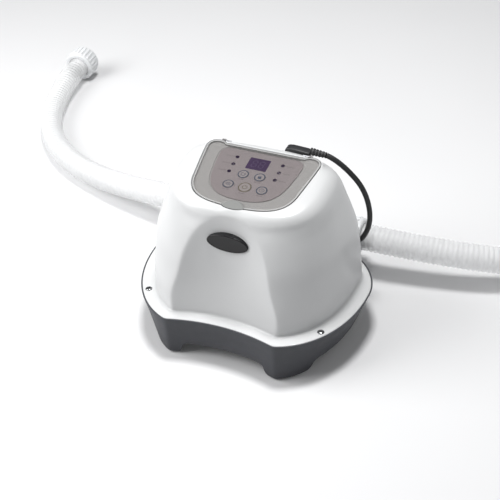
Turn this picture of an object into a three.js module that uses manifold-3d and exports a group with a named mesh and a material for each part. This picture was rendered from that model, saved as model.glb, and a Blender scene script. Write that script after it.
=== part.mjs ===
// Salt chlorine generator for an above-ground pool: a moulded control unit that stands on four feet,
// with the water pipe that holds the electrolytic cell carried behind it and a hose on each side.
// Millimetres, +Z up, the front faces -Y, the middle plane is X = 0.
import * as THREE from 'three';
import { mergeVertices } from 'three/addons/utils/BufferGeometryUtils.js';
import Module from 'manifold-3d';

const wasm = await Module();
wasm.setup();

// ---------------------------------------------------------------- driving dimensions
const ORIGIN_Y = 77.3; // the design frame's Y that becomes Y = 0, the middle of the unit's depth
const GAP = 0.3; // clearance between touching pieces

// base tray and the cover's flange
const FLANGE_TOP = 71.6;
const FLANGE_THICK = 4;
const FRONT_CORNER = { x: 87, y: -87 };
const FRONT_HOLLOW = 13; // how far the front edge is set back in the middle
const REAR_Y = 162;
const RIM_WIDTH = 1.8; // the tray's lip that shows outside the flange
const TRAY_WALL = 4;
const TRAY_SIDE_TAPER = 0.28;
const TRAY_FRONT_TAPER = 4.4;
const TRAY_REAR_TAPER = 12;
const TRAY_UNDERSIDE = 21.5;
const TRAY_FLOOR_TOP = 25.5;
const FOOT_GAP_HALF = 69; // half width of the arch between the front feet
const SIDE_ARCH = { front: -48, rear: 96 };
const ARCH_ROUND = 12;
const PAD_THICK = 1.5;

// cover: level sections, each a superellipse in plan, tilting towards the panel's slope at the top
const SECTION_HEIGHT = [76, 108, 140, 170, 196, 216, 231, 242, 249, 252.8];
const SECTION_HALF_WIDTH = [157.3, 155.9, 153.8, 149.9, 141.4, 132.9, 127.3, 120.2, 109, 97.5];
const SECTION_FRONT = [-82.8, -79.2, -69.7, -60.8, -50.3, -40.5, -31.5, -26, -20.6, -14.5];
const SECTION_REAR = [145, 145, 145, 145, 144, 143, 139.5, 134, 124.5, 116];
const SECTION_MIDDLE = [90, 90, 88, 85, 82, 80, 78, 76, 75, 75];
const FRONT_POWER = [2.55, 2.55, 2.55, 2.55, 2.55, 2.6, 2.7, 2.9, 3.1, 3.3];
const REAR_POWER = 3.0;
const COVER_WALL = 3;
const RING_STEPS = 48;

// concave front face of the cover, framed by an arch
const RECESS = { bottomY: -55, bottomZ: 77, slope: 0.205, curveLow: 0.0018, curveHigh: 0.0035 };
const RECESS_TOP = { start: 205, end: 231, forward: 1 };
const BADGE = { face: -36.4, z: 197.2, halfWidth: 32.4, halfHeight: 14.2 };

// control panel: a frame of its own, tilted about X, w = 0 on the label's top face
const PANEL = { y: 34.3, z: 249.9, slopeDeg: 8.543 };
const LID_TOP = 3.0;
const LID_THICK = 1.8;
const LABEL_THICK = 0.9;
const BEZEL_FLOOR = { top: -1.2, bottom: -3.2 };
const BAR = { v: 86, w: -3, radius: 6.7, half: 66 }; // ridge behind the lid, between its hinge ears
const HINGE = { v: 86.2, w: 1.4, earHalfGap: 66.8, earWidth: 6, earRadius: 2.9, pinRadius: 1.3 };
const TAB = { v: -43.5, half: 17.5, reach: 6 };
const BUTTON_RADIUS = 8.5;
const POWER_RADIUS = 10;
const BUTTONS = {
  button_mode: [-13.2, 25.4, BUTTON_RADIUS],
  button_lock: [13.2, 25.4, BUTTON_RADIUS],
  button_clean: [-26.4, 0.3, BUTTON_RADIUS],
  button_power: [0, 0, POWER_RADIUS],
  button_timer: [26.4, 0.3, BUTTON_RADIUS],
};
const BUTTON_TOP = 0.5;
const BUTTON_BOTTOM = -4.2;
const INDICATOR = { u: 36.4, rows: [58.3, 42.4, 26.3], radius: 2.3 };
const DISPLAY = { v: 51, width: 32.7, height: 24.6 };

// screws that hold the cover to the tray
const SCREWS = {
  front_left: [-141.3, -34.4],
  front_right: [141.3, -34.4],
  rear_left: [-130, 139],
  rear_right: [130, 139],
};
const SCREW = {
  headRadius: 4.3,
  headHeight: 2.4,
  shankRadius: 2,
  shankLength: 22,
  seatRadius: 5.4,
  seatDepth: 1.4,
};

// water pipe behind the unit, along X
const PIPE = {
  y: 212,
  z: 64,
  half: 112,
  bodyHalf: 78,
  radius: 27,
  spigotRadius: 22,
  bore: 18.5,
  chamber: 23.5,
};
const NUT = {
  start: 84,
  end: 122,
  radius: 30,
  rib: 2,
  ribs: 12,
  thread: 22.4,
  lipStart: 118.4,
  lipBore: 22.4,
  cuffBore: 24.7,
};
const HOSE = { radius: 22, bore: 19.2, sides: 12 };
const CUFF = {
  face: 114.7,
  flangeRadius: 24.3,
  flangeThick: 3.4,
  sleeveRadius: 17.4,
  bore: 15.4,
  length: 22,
};
const SEAL = { middle: 20.6, radius: 1 };

// lead from the unit's rear socket to the electrolytic cell
const LEAD_RADIUS = 4.1;

// gland that the mains cord comes out of, low on the rear of the tray
const GLAND = { x: -108, y: 163.6, z: 50 };

// ---------------------------------------------------------------- small tools
const V2 = (x, y) => new THREE.Vector2(x, y);
const V3 = (x, y, z) => new THREE.Vector3(x, y, z);

function toSolid(geometry) {
  const bare = geometry.index ? geometry.toNonIndexed() : geometry.clone();
  bare.deleteAttribute('normal');
  bare.deleteAttribute('uv');
  const merged = mergeVertices(bare, 1e-4);
  const mesh = new wasm.Mesh({
    numProp: 3,
    vertProperties: new Float32Array(merged.attributes.position.array),
    triVerts: new Uint32Array(merged.index.array),
  });
  return new wasm.Manifold(mesh);
}

function toGeometry(manifold) {
  const mesh = manifold.getMesh();
  const geometry = new THREE.BufferGeometry();
  geometry.setAttribute('position', new THREE.BufferAttribute(new Float32Array(mesh.vertProperties), 3));
  geometry.setIndex(new THREE.BufferAttribute(new Uint32Array(mesh.triVerts), 1));
  geometry.computeVertexNormals();
  return geometry;
}

// A closed solid through rings of equal point count; each ring is anticlockwise seen from the last one.
function loft(rings) {
  const count = rings[0].length;
  const positions = [];
  const index = [];
  for (const ring of rings) {
    for (const p of ring) positions.push(p.x, p.y, p.z);
  }
  for (let k = 0; k < rings.length - 1; k += 1) {
    for (let i = 0; i < count; i += 1) {
      const a = k * count + i;
      const b = k * count + ((i + 1) % count);
      index.push(a, b, b + count, a, b + count, a + count);
    }
  }
  for (const [k, up] of [[0, false], [rings.length - 1, true]]) {
    const middle = rings[k].reduce((sum, p) => sum.add(p), V3(0, 0, 0)).divideScalar(count);
    const centre = positions.length / 3;
    positions.push(middle.x, middle.y, middle.z);
    for (let i = 0; i < count; i += 1) {
      const a = k * count + i;
      const b = k * count + ((i + 1) % count);
      if (up) index.push(a, b, centre);
      else index.push(b, a, centre);
    }
  }
  const geometry = new THREE.BufferGeometry();
  geometry.setAttribute('position', new THREE.Float32BufferAttribute(positions, 3));
  geometry.setIndex(index);
  return geometry;
}

function plate(points, low, high) {
  const shape = new THREE.Shape(points);
  const geometry = new THREE.ExtrudeGeometry(shape, { depth: high - low, bevelEnabled: false });
  geometry.translate(0, 0, low);
  return geometry;
}

function box(low, high) {
  const geometry = new THREE.BoxGeometry(high[0] - low[0], high[1] - low[1], high[2] - low[2]);
  geometry.translate((low[0] + high[0]) / 2, (low[1] + high[1]) / 2, (low[2] + high[2]) / 2);
  return geometry;
}

// An upright round solid, or a tapered one.
function post(x, y, low, high, radius, topRadius = radius, sides = 24) {
  const geometry = new THREE.CylinderGeometry(topRadius, radius, high - low, sides);
  geometry.rotateX(Math.PI / 2);
  geometry.translate(x, y, (low + high) / 2);
  return geometry;
}

// A round solid along X.
function bar(from, to, y, z, radius, sides = 20, endRadius = radius) {
  const geometry = new THREE.CylinderGeometry(endRadius, radius, to - from, sides);
  geometry.rotateZ(-Math.PI / 2);
  geometry.translate((from + to) / 2, y, z);
  return geometry;
}

// A turned ring: profile points are [distance along the axis, radius], closed on itself, axis along X.
function turned(profile, sides) {
  const closed = [...profile, profile[0]].map(([along, radius]) => V2(radius, along));
  const geometry = new THREE.LatheGeometry(closed, sides);
  geometry.rotateZ(-Math.PI / 2);
  return geometry;
}

function outward(solid) {
  return solid.volume() < 0 ? toSolid(flipped(toGeometry(solid))) : solid;
}

function flipped(geometry) {
  const index = geometry.index.array;
  for (let i = 0; i < index.length; i += 3) [index[i], index[i + 1]] = [index[i + 1], index[i]];
  return geometry;
}

const ring = (profile, sides) => outward(toSolid(turned(profile, sides)));

// ---------------------------------------------------------------- materials
const finish = (color, roughness, metalness = 0) =>
  new THREE.MeshStandardMaterial({ color, roughness, metalness });
const white = () => finish(0xf1f2f2, 0.22);
const charcoal = () => finish(0x4c4e52, 0.55);
const blackPlastic = () => finish(0x2a2a2c, 0.45);
const rubber = () => finish(0x1c1c1e, 0.85);
const bezelGrey = () => finish(0xb4b0ae, 0.35);
const labelMauve = () => finish(0x8f8789, 0.45);
const smokedClear = () => finish(0xa9a4a1, 0.08);
const violetGlass = () => finish(0x4a3a5e, 0.12);
const chrome = () => finish(0xc8ccd0, 0.2, 1);
const steel = () => finish(0xb9bcc0, 0.3, 1);
const boardGreen = () => finish(0x1f5a3c, 0.5);
const copper = () => finish(0xa8683c, 0.4, 0.8);
const titanium = () => finish(0x8f8c88, 0.4, 1);
const pipeGrey = () => finish(0xd9dcdd, 0.35);
const hoseClear = () => finish(0xeceff0, 0.3);

// ---------------------------------------------------------------- plan outlines
// Flange outline, anticlockwise from the front left corner; grow moves it outwards.
function planOutline(grow) {
  const { x: cx, y: cy } = FRONT_CORNER;
  const path = new THREE.Path();
  path.moveTo(-cx, cy);
  path.quadraticCurveTo(0, cy + 2 * FRONT_HOLLOW, cx, cy);
  path.bezierCurveTo(142, -70, 180, -8, 179, 72);
  path.bezierCurveTo(179, 112, 140, REAR_Y, 90, REAR_Y);
  path.lineTo(-90, REAR_Y);
  path.bezierCurveTo(-140, REAR_Y, -179, 112, -179, 72);
  path.bezierCurveTo(-180, -8, -142, -70, -cx, cy);
  const points = path.getPoints(8);
  points.pop();
  return grown(points, grow);
}

// Moves a closed anticlockwise outline outwards along its corner normals.
function grown(points, grow) {
  const count = points.length;
  return points.map((p, i) => {
    const before = p.clone().sub(points[(i + count - 1) % count]).normalize();
    const after = points[(i + 1) % count].clone().sub(p).normalize();
    const normal = V2(before.y + after.y, -before.x - after.x).normalize();
    const stretch = 1 / Math.max(0.6, normal.x * before.y - normal.y * before.x);
    return V2(p.x + normal.x * grow * stretch, p.y + normal.y * grow * stretch);
  });
}

// One level of the tray: the outline drawn in towards the floor, but not at the front corners.
function trayRing(z, grow, taperZ = z) {
  const down = 1 - taperZ / FLANGE_TOP;
  return planOutline(grow).map((p) => {
    const beyond = Math.max(0, Math.abs(p.x) - FRONT_CORNER.x);
    const x = Math.sign(p.x) * (Math.abs(p.x) - beyond * TRAY_SIDE_TAPER * down);
    const toFront = THREE.MathUtils.clamp((40 - p.y) / 100, 0, 1);
    const toRear = THREE.MathUtils.clamp((p.y - 100) / 62, 0, 1);
    return V3(x, p.y + down * (TRAY_FRONT_TAPER * toFront - TRAY_REAR_TAPER * toRear), z);
  });
}

// One section of the cover; wall moves it inwards, lower drops its top.
function coverRing(level, wall, lower = 0) {
  const top = SECTION_HEIGHT.length - 1;
  const rise = (SECTION_HEIGHT[level] - SECTION_HEIGHT[0]) / (SECTION_HEIGHT[top] - SECTION_HEIGHT[0]);
  const tilt = Math.tan(THREE.MathUtils.degToRad(PANEL.slopeDeg)) * rise * rise;
  const half = SECTION_HALF_WIDTH[level] - wall;
  const middle = SECTION_MIDDLE[level];
  const points = [];
  for (let i = 0; i < RING_STEPS; i += 1) {
    const angle = (2 * Math.PI * i) / RING_STEPS;
    const front = Math.sin(angle) < 0;
    const depth = front ? middle - SECTION_FRONT[level] - wall : SECTION_REAR[level] - wall - middle;
    const power = 2 / (front ? FRONT_POWER[level] : REAR_POWER);
    const x = half * Math.sign(Math.cos(angle)) * Math.abs(Math.cos(angle)) ** power;
    const y = middle + depth * Math.sign(Math.sin(angle)) * Math.abs(Math.sin(angle)) ** power;
    points.push(V3(x, y, SECTION_HEIGHT[level] + tilt * (y - PANEL.y) - lower * rise));
  }
  return points;
}

function recessY(x, z) {
  const climb = THREE.MathUtils.smoothstep(z, RECESS.bottomZ, 167);
  const curve = THREE.MathUtils.lerp(RECESS.curveLow, RECESS.curveHigh, climb);
  const lip = Math.max(0, (z - RECESS_TOP.start) / (RECESS_TOP.end - RECESS_TOP.start));
  const lean = RECESS.bottomY + RECESS.slope * (z - RECESS.bottomZ);
  return lean - curve * x * x - RECESS_TOP.forward * lip * lip;
}

// Everything in front of the recessed face, shifted back by `back`.
function recessCutter(back, low, high) {
  const rings = [];
  const steps = 14;
  const levels = 11;
  const half = 96;
  for (let k = 0; k <= levels; k += 1) {
    const z = low + ((high - low) * k) / levels;
    const points = [V3(-half, -150, z), V3(half, -150, z)];
    for (let i = 0; i <= steps; i += 1) {
      const x = half - (2 * half * i) / steps;
      points.push(V3(x, recessY(x, z) + back, z));
    }
    rings.push(points);
  }
  return toSolid(loft(rings));
}

// ---------------------------------------------------------------- control panel outlines (u, v)
function panelOutline(rear, corner, shoulder, side, front, grow) {
  const path = new THREE.Path();
  const mirror = (pair) => [-pair[0], pair[1]];
  path.moveTo(0, front.v);
  path.bezierCurveTo(...front.c1, ...front.c2, ...side);
  path.bezierCurveTo(...shoulder.c1, ...shoulder.c2, ...corner.from);
  path.quadraticCurveTo(...corner.control, ...rear);
  path.lineTo(...mirror(rear));
  path.quadraticCurveTo(...mirror(corner.control), ...mirror(corner.from));
  path.bezierCurveTo(...mirror(shoulder.c2), ...mirror(shoulder.c1), ...mirror(side));
  path.bezierCurveTo(...mirror(front.c2), ...mirror(front.c1), 0, front.v);
  const points = path.getPoints(6);
  points.pop();
  return grown(points, grow);
}

const lidOutline = (grow) => panelOutline(
  [74, 84], { from: [91, 68], control: [90.5, 84] }, { c1: [85.5, 25], c2: [88.5, 45] },
  [82.5, 5], { v: -45, c1: [50, -45], c2: [78.5, -36] }, grow);

const labelOutline = (grow) => panelOutline(
  [52, 75], { from: [66, 61], control: [65.5, 75] }, { c1: [64.5, 40], c2: [65.5, 50] },
  [62.5, 30], { v: -27, c1: [40, -27], c2: [58, -12] }, grow);

const atLevel = (points, w) => points.map((p) => V3(p.x, p.y, w));

function panelToUnit(geometry) {
  const tilt = new THREE.Matrix4().makeRotationX(THREE.MathUtils.degToRad(PANEL.slopeDeg));
  geometry.applyMatrix4(tilt);
  geometry.translate(0, PANEL.y, PANEL.z);
  return geometry;
}

// Holes for the buttons, indicators and display, from w = low to w = high.
function panelHoles(low, high) {
  const holes = [];
  for (const [u, v, radius] of Object.values(BUTTONS)) {
    holes.push(toSolid(post(u, v, low, high, radius + GAP + 0.1, radius + GAP + 0.1, 20)));
  }
  for (const side of [-1, 1]) {
    for (const v of INDICATOR.rows) {
      const radius = INDICATOR.radius + GAP + 0.05;
      holes.push(toSolid(post(side * INDICATOR.u, v, low, high, radius, radius, 10)));
    }
  }
  const [du, dv] = [DISPLAY.width / 2 + GAP, DISPLAY.height / 2 + GAP];
  holes.push(toSolid(box([-du, DISPLAY.v - dv, low], [du, DISPLAY.v + dv, high])));
  return holes.reduce((all, hole) => all.add(hole));
}

// ---------------------------------------------------------------- tray
function baseTray() {
  const top = FLANGE_TOP - 0.4;
  const outer = [TRAY_UNDERSIDE, 48, top].map((z) => trayRing(z, z === top ? RIM_WIDTH : RIM_WIDTH - 0.6));
  let tray = toSolid(loft(outer));
  const footLevels = [PAD_THICK + GAP, 12, TRAY_UNDERSIDE + 1];
  let feet = toSolid(loft(footLevels.map((z) => trayRing(z, RIM_WIDTH - 0.6))));
  feet = feet.subtract(toSolid(archTunnel(-FOOT_GAP_HALF, FOOT_GAP_HALF, 'front')));
  feet = feet.subtract(toSolid(archTunnel(SIDE_ARCH.front, SIDE_ARCH.rear, 'side')));
  tray = tray.add(feet);
  const seatLow = FLANGE_TOP - FLANGE_THICK - GAP;
  tray = tray.subtract(toSolid(loft([trayRing(seatLow, GAP, FLANGE_TOP), trayRing(80, GAP, FLANGE_TOP)])));
  const cavity = [TRAY_FLOOR_TOP, 48, 82].map((z) => trayRing(z, -TRAY_WALL, Math.min(z, FLANGE_TOP)));
  tray = tray.subtract(toSolid(loft(cavity)));
  for (const [x, y] of Object.values(SCREWS)) {
    tray = tray.add(toSolid(post(x, y, TRAY_FLOOR_TOP - 1, seatLow, 7)));
    const hole = post(x, y, seatLow - 20, seatLow + 1, SCREW.shankRadius + GAP, undefined, 12);
    tray = tray.subtract(toSolid(hole));
  }
  for (const x of [-66, 66]) {
    for (const y of [2, 82]) tray = tray.add(toSolid(post(x, y, TRAY_FLOOR_TOP - 1, 35.7, 4.5, 3.5, 16)));
  }
  for (const x of BRACKETS) tray = tray.add(pipeArm(x));
  const glandBoss = box([GLAND.x - 11, 154, GLAND.z - 11], [GLAND.x + 11, GLAND.y - GAP, GLAND.z + 11]);
  tray = tray.add(toSolid(glandBoss));
  tray = tray.subtract(toSolid(alongY(post(0, 0, -30, 10, 4.2, undefined, 12), GLAND)));
  return tray;
}

// The open arch under the tray, through from side to side or from front to rear.
function archTunnel(low, high, way) {
  const shape = new THREE.Shape();
  shape.moveTo(low, -5);
  shape.lineTo(high, -5);
  shape.lineTo(high, TRAY_UNDERSIDE - ARCH_ROUND);
  shape.quadraticCurveTo(high - 1, TRAY_UNDERSIDE, high - ARCH_ROUND, TRAY_UNDERSIDE);
  shape.lineTo(low + ARCH_ROUND, TRAY_UNDERSIDE);
  shape.quadraticCurveTo(low + 1, TRAY_UNDERSIDE, low, TRAY_UNDERSIDE - ARCH_ROUND);
  const geometry = new THREE.ExtrudeGeometry(shape, { depth: 500, bevelEnabled: false, curveSegments: 6 });
  geometry.rotateX(Math.PI / 2);
  geometry.translate(0, 250, 0);
  if (way === 'side') {
    geometry.rotateZ(Math.PI / 2);
  }
  return geometry;
}

function footPad(x, y) {
  const shape = new THREE.Shape();
  shape.absellipse(0, 0, 9, 11, 0, 2 * Math.PI);
  const settings = { depth: PAD_THICK, bevelEnabled: false, curveSegments: 12 };
  const geometry = new THREE.ExtrudeGeometry(shape, settings);
  geometry.translate(x, y, 0);
  return toSolid(geometry);
}

// ---------------------------------------------------------------- cover
function topCover() {
  const levels = SECTION_HEIGHT.map((_, i) => i);
  const skirt = coverRing(0, 0).map((p) => V3(p.x, p.y, FLANGE_TOP - 1));
  let cover = toSolid(loft([skirt, ...levels.map((i) => coverRing(i, 0))]));
  cover = cover.subtract(recessCutter(0, FLANGE_TOP - 1.5, 246));
  cover = cover.add(toSolid(plate(planOutline(0), FLANGE_TOP - FLANGE_THICK, FLANGE_TOP)));
  cover = cover.add(toSolid(panelToUnit(hingeBar())));
  const innerSkirt = coverRing(0, COVER_WALL).map((p) => V3(p.x, p.y, FLANGE_TOP - FLANGE_THICK - 2));
  const inner = toSolid(loft([innerSkirt, ...levels.map((i) => coverRing(i, COVER_WALL, 8.5))]));
  cover = cover.subtract(inner.subtract(recessCutter(COVER_WALL + 0.6, 40, 246)));
  cover = cover.subtract(panelPocket()).subtract(lidRoom());
  for (const [x, y] of Object.values(SCREWS)) {
    cover = cover.subtract(toSolid(post(x, y, 60, FLANGE_TOP + 1, SCREW.shankRadius + GAP, undefined, 12)));
    const seat = FLANGE_TOP - SCREW.seatDepth;
    cover = cover.subtract(toSolid(post(x, y, seat, FLANGE_TOP + 20, SCREW.seatRadius)));
  }
  cover = cover.subtract(toSolid(box([SOCKET.x - 9, 100, SOCKET.z - 5], [SOCKET.x + 9, 170, SOCKET.z + 5])));
  return cover;
}

// The stepped pocket in the top of the cover that takes the bezel and the lid.
function panelPocket() {
  const rings = [
    atLevel(labelOutline(3 + GAP), -14),
    atLevel(labelOutline(3 + GAP), -3.5),
    atLevel(lidOutline(0.8), -1.8),
    atLevel(lidOutline(0.8), 25),
  ];
  const pocket = toSolid(panelToUnit(loft(rings)));
  const keep = toSolid(panelToUnit(hingeBar()));
  const scoop = toSolid(panelToUnit(tabPlate(TAB.half + 1, TAB.reach + 1, 0.3, 25)));
  return pocket.subtract(keep).add(scoop);
}

const hingeBar = (grow = 0) => bar(-BAR.half, BAR.half, BAR.v, BAR.w, BAR.radius + grow, 24);

// Notches for the lid's hinge ears to turn in, and the bores for the hinge pins.
function lidRoom() {
  const parts = [];
  const room = HINGE.earRadius + 0.8;
  const { v, w, earHalfGap, earWidth, pinRadius } = HINGE;
  for (const side of [-1, 1]) {
    const [low, high] = [side * (BAR.half + 0.2), side * (earHalfGap + earWidth + 1)].sort((a, b) => a - b);
    parts.push(toSolid(bar(low, high, v, w, room, 20)));
    parts.push(toSolid(box([low, v - room, w], [high, v + room, 30])));
    const pin = [side * 57, side * 75].sort((a, b) => a - b);
    parts.push(toSolid(bar(pin[0], pin[1], v, w, pinRadius + GAP, 12)));
  }
  return toSolid(panelToUnit(toGeometry(parts.reduce((all, part) => all.add(part)))));
}

// ---------------------------------------------------------------- control panel pieces
function bezel() {
  const rim = LID_TOP - LID_THICK - GAP;
  const outer = loft([
    atLevel(labelOutline(3), BEZEL_FLOOR.bottom),
    atLevel(lidOutline(-0.6), -1.5),
    atLevel(lidOutline(-0.6), rim),
  ]);
  const inner = loft([
    atLevel(labelOutline(0.5), BEZEL_FLOOR.top),
    atLevel(lidOutline(-2.4), rim - 0.1),
    atLevel(lidOutline(-2.4), rim + 5),
  ]);
  let piece = toSolid(outer).subtract(toSolid(inner)).subtract(panelHoles(-6, 6));
  piece = piece.subtract(toSolid(bar(-100, 100, BAR.v, BAR.w, BAR.radius + GAP, 24)));
  return toSolid(panelToUnit(toGeometry(piece)));
}

function panelLabel() {
  const sheet = toSolid(plate(labelOutline(0), -LABEL_THICK, 0)).subtract(panelHoles(-6, 6));
  return toSolid(panelToUnit(toGeometry(sheet)));
}

// The finger tab at the lid's front edge, and with more room around it the scoop under it.
function tabPlate(half, reach, low, high) {
  const shape = new THREE.Shape();
  shape.absellipse(0, TAB.v, half, reach, 0, 2 * Math.PI);
  const settings = { depth: high - low, bevelEnabled: false, curveSegments: 10 };
  const geometry = new THREE.ExtrudeGeometry(shape, settings);
  geometry.translate(0, 0, low);
  return geometry;
}

function lid() {
  const under = LID_TOP - LID_THICK;
  let piece = toSolid(plate(lidOutline(0), under, LID_TOP));
  const back = BAR.v - BAR.radius + 0.9;
  piece = piece.subtract(toSolid(box([-HINGE.earHalfGap, back, -10], [HINGE.earHalfGap, 120, 10])));
  piece = piece.add(toSolid(tabPlate(TAB.half, TAB.reach, under, LID_TOP)));
  for (const side of [-1, 1]) {
    const inner = side * HINGE.earHalfGap;
    const outer = side * (HINGE.earHalfGap + HINGE.earWidth);
    const low = Math.min(inner, outer);
    const high = Math.max(inner, outer);
    piece = piece.add(toSolid(bar(low, high, HINGE.v, HINGE.w, HINGE.earRadius)));
    piece = piece.subtract(toSolid(bar(low - 1, high + 1, HINGE.v, HINGE.w, HINGE.pinRadius + GAP, 12)));
  }
  return toSolid(panelToUnit(toGeometry(piece)));
}

function hingePin(side) {
  const [low, high] = [side * 58, side * (HINGE.earHalfGap + HINGE.earWidth)].sort((a, b) => a - b);
  return toSolid(panelToUnit(bar(low, high, HINGE.v, HINGE.w, HINGE.pinRadius, 12)));
}

function button(u, v, radius) {
  const cap = post(u, v, BUTTON_BOTTOM, BUTTON_TOP, radius, radius - 0.2, 20);
  return toSolid(panelToUnit(cap));
}

function indicator(u, v) {
  const lens = post(u, v, BUTTON_BOTTOM, BUTTON_TOP, INDICATOR.radius, INDICATOR.radius - 0.5, 10);
  return toSolid(panelToUnit(lens));
}

function displayWindow() {
  const [du, dv] = [DISPLAY.width / 2, DISPLAY.height / 2];
  return toSolid(panelToUnit(box([-du, DISPLAY.v - dv, -2.9], [du, DISPLAY.v + dv, 0.1])));
}

function displayBoard() {
  return toSolid(panelToUnit(box([-48, -16, -8.6], [48, 70, -7])));
}

// ---------------------------------------------------------------- badge
// An oval plate whose flat face stands upright, so that it stands further out at its top edge.
function badge() {
  const rings = [];
  for (const z of [178, 186, 194, 202, 210, 216]) {
    const points = [];
    for (let i = 0; i <= 12; i += 1) points.push(V3(-39 + (78 * i) / 12, BADGE.face, z));
    for (let i = 0; i <= 12; i += 1) {
      const x = 39 - (78 * i) / 12;
      points.push(V3(x, recessY(x, z) - GAP - 0.2, z));
    }
    rings.push(points);
  }
  const slab = toSolid(loft(rings));
  const shape = new THREE.Shape();
  shape.absellipse(0, BADGE.z, BADGE.halfWidth, BADGE.halfHeight, 0, 2 * Math.PI);
  const oval = new THREE.ExtrudeGeometry(shape, { depth: 80, bevelEnabled: false, curveSegments: 22 });
  oval.rotateX(Math.PI / 2);
  return slab.intersect(toSolid(oval));
}

// ---------------------------------------------------------------- fasteners
function screw(x, y) {
  const seat = FLANGE_TOP - SCREW.seatDepth + GAP;
  const profile = [V2(0, 0), V2(SCREW.headRadius, 0)];
  for (let i = 0; i < 4; i += 1) {
    const angle = (Math.PI / 2) * (i / 4);
    profile.push(V2(SCREW.headRadius * Math.cos(angle), 0.5 + (SCREW.headHeight - 0.5) * Math.sin(angle)));
  }
  profile.push(V2(0, SCREW.headHeight));
  const dome = new THREE.LatheGeometry(profile, 16);
  dome.rotateX(Math.PI / 2);
  dome.translate(x, y, seat);
  let piece = outward(toSolid(dome));
  const shank = post(x, y, seat - SCREW.shankLength + 4, seat + 0.5, SCREW.shankRadius, undefined, 12);
  piece = piece.add(toSolid(shank));
  const slot = SCREW.headHeight - 1.1 + seat;
  piece = piece.subtract(toSolid(box([x - 2.6, y - 0.45, slot], [x + 2.6, y + 0.45, slot + 5])));
  piece = piece.subtract(toSolid(box([x - 0.45, y - 2.6, slot], [x + 0.45, y + 2.6, slot + 5])));
  return piece;
}

// ---------------------------------------------------------------- electronics
function mainBoard() {
  return toSolid(box([-75, -8, 36], [75, 92, 37.6]));
}

function transformerCore() {
  const core = toSolid(box([-62, 36, 38], [-2, 84, 76]));
  const window = toSolid(box([-51, 30, 48], [-37, 90, 66])).add(toSolid(box([-27, 30, 48], [-13, 90, 66])));
  return core.subtract(window);
}

function transformerCoil() {
  const wound = toSolid(box([-50.6, 28, 48.4], [-13.4, 92, 65.6]));
  return wound.subtract(toSolid(box([-37.4, 35.6, 40], [-26.6, 84.4, 90])));
}

function terminalBlock() {
  let block = toSolid(box([20, 4, 38], [64, 18, 50]));
  for (let i = 0; i < 4; i += 1) {
    block = block.subtract(toSolid(post(25.5 + 11 * i, 11, 42, 60, 2.5, undefined, 12)));
  }
  return block;
}

function heatSink() {
  let sink = toSolid(box([20, 40, 38], [64, 80, 68]));
  for (let i = 0; i < 4; i += 1) {
    sink = sink.subtract(toSolid(box([25 + 10 * i, 30, 43], [30 + 10 * i, 90, 80])));
  }
  return sink;
}

// ---------------------------------------------------------------- water pipe and cell
const SOCKET = { x: 41, z: 242 };
const CELL_HEAD = { low: [34, 163, 72], high: [70, 189, 95] };

function cellHousing() {
  const { half, bodyHalf, radius, spigotRadius, bore, chamber } = PIPE;
  let pipe = ring([
    [-half, spigotRadius], [-bodyHalf - 4, spigotRadius], [-bodyHalf, radius], [bodyHalf, radius],
    [bodyHalf + 4, spigotRadius], [half, spigotRadius], [half, bore], [bodyHalf + 4, bore],
    [bodyHalf - 4, chamber], [-bodyHalf + 4, chamber], [-bodyHalf - 4, bore], [-half, bore],
  ], 28);
  pipe = pipe.translate([0, PIPE.y, PIPE.z]);
  const neck = toSolid(post(SENSOR.x, PIPE.y, PIPE.z + 24, SENSOR.neckTop, 15));
  const neckBore = toSolid(post(SENSOR.x, PIPE.y, PIPE.z + 10, SENSOR.neckTop + 5, 9.5));
  pipe = pipe.add(neck).subtract(neckBore);
  for (const x of BRACKETS) {
    pipe = pipe.add(toSolid(box([x - 7, 168, 52], [x + 7, 192, 76])));
    pipe = pipe.subtract(toSolid(bar(x - 10, x + 10, PIPE.y, PIPE.z, PIPE.chamber, 32)));
  }
  return pipe;
}

const BRACKETS = [-62, 12];
const ELECTRODES = 3;
const SENSOR = { x: -30, neckTop: 99 };

// Arm moulded on the rear of the tray; the pipe's lug rests on its shelf.
function pipeArm(x) {
  const arm = toSolid(box([x - 11, 152, 30], [x + 11, 167.6, 66]));
  const shelf = toSolid(box([x - 7, 160, 45.5], [x + 7, 190, 51.6]));
  return arm.add(shelf.subtract(toSolid(bar(x - 12, x + 12, PIPE.y, PIPE.z, PIPE.radius + GAP, 32))));
}

function electrode(index) {
  const z = PIPE.z + 8 * (index - (ELECTRODES - 1) / 2);
  return toSolid(box([2, PIPE.y - 15, z - 0.5], [66, PIPE.y + 15, z + 0.5]));
}

function electrodeHolder() {
  const frame = toSolid(box([66.4, PIPE.y - 12, PIPE.z - 13], [70, PIPE.y + 12, PIPE.z + 13]));
  return frame.subtract(toSolid(bar(60, 80, PIPE.y, PIPE.z, 6)));
}

function cellHead() {
  let head = toSolid(box(CELL_HEAD.low, CELL_HEAD.high));
  head = head.subtract(toSolid(bar(20, 80, PIPE.y, PIPE.z, PIPE.radius + GAP, 32)));
  return head;
}

function flowSensor() {
  const top = SENSOR.neckTop;
  const flange = toSolid(post(SENSOR.x, PIPE.y, top + GAP, top + 3, 14));
  const stem = toSolid(post(SENSOR.x, PIPE.y, PIPE.z - 4, top + 1, 8.5));
  const head = toSolid(post(SENSOR.x, PIPE.y, top + 2, top + 14, 9.5, 8.5));
  return flange.add(stem).add(head);
}

function sensorNut() {
  const top = SENSOR.neckTop;
  const low = top - 7;
  let nut = toSolid(post(SENSOR.x, PIPE.y, low, top + 7, 19.5, 19.5, 12));
  nut = nut.subtract(toSolid(post(SENSOR.x, PIPE.y, low - 1, top + 3.4, 15.4, 15.4, 24)));
  return nut.subtract(toSolid(post(SENSOR.x, PIPE.y, top, top + 10, 10.2, 10.2, 24)));
}

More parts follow.
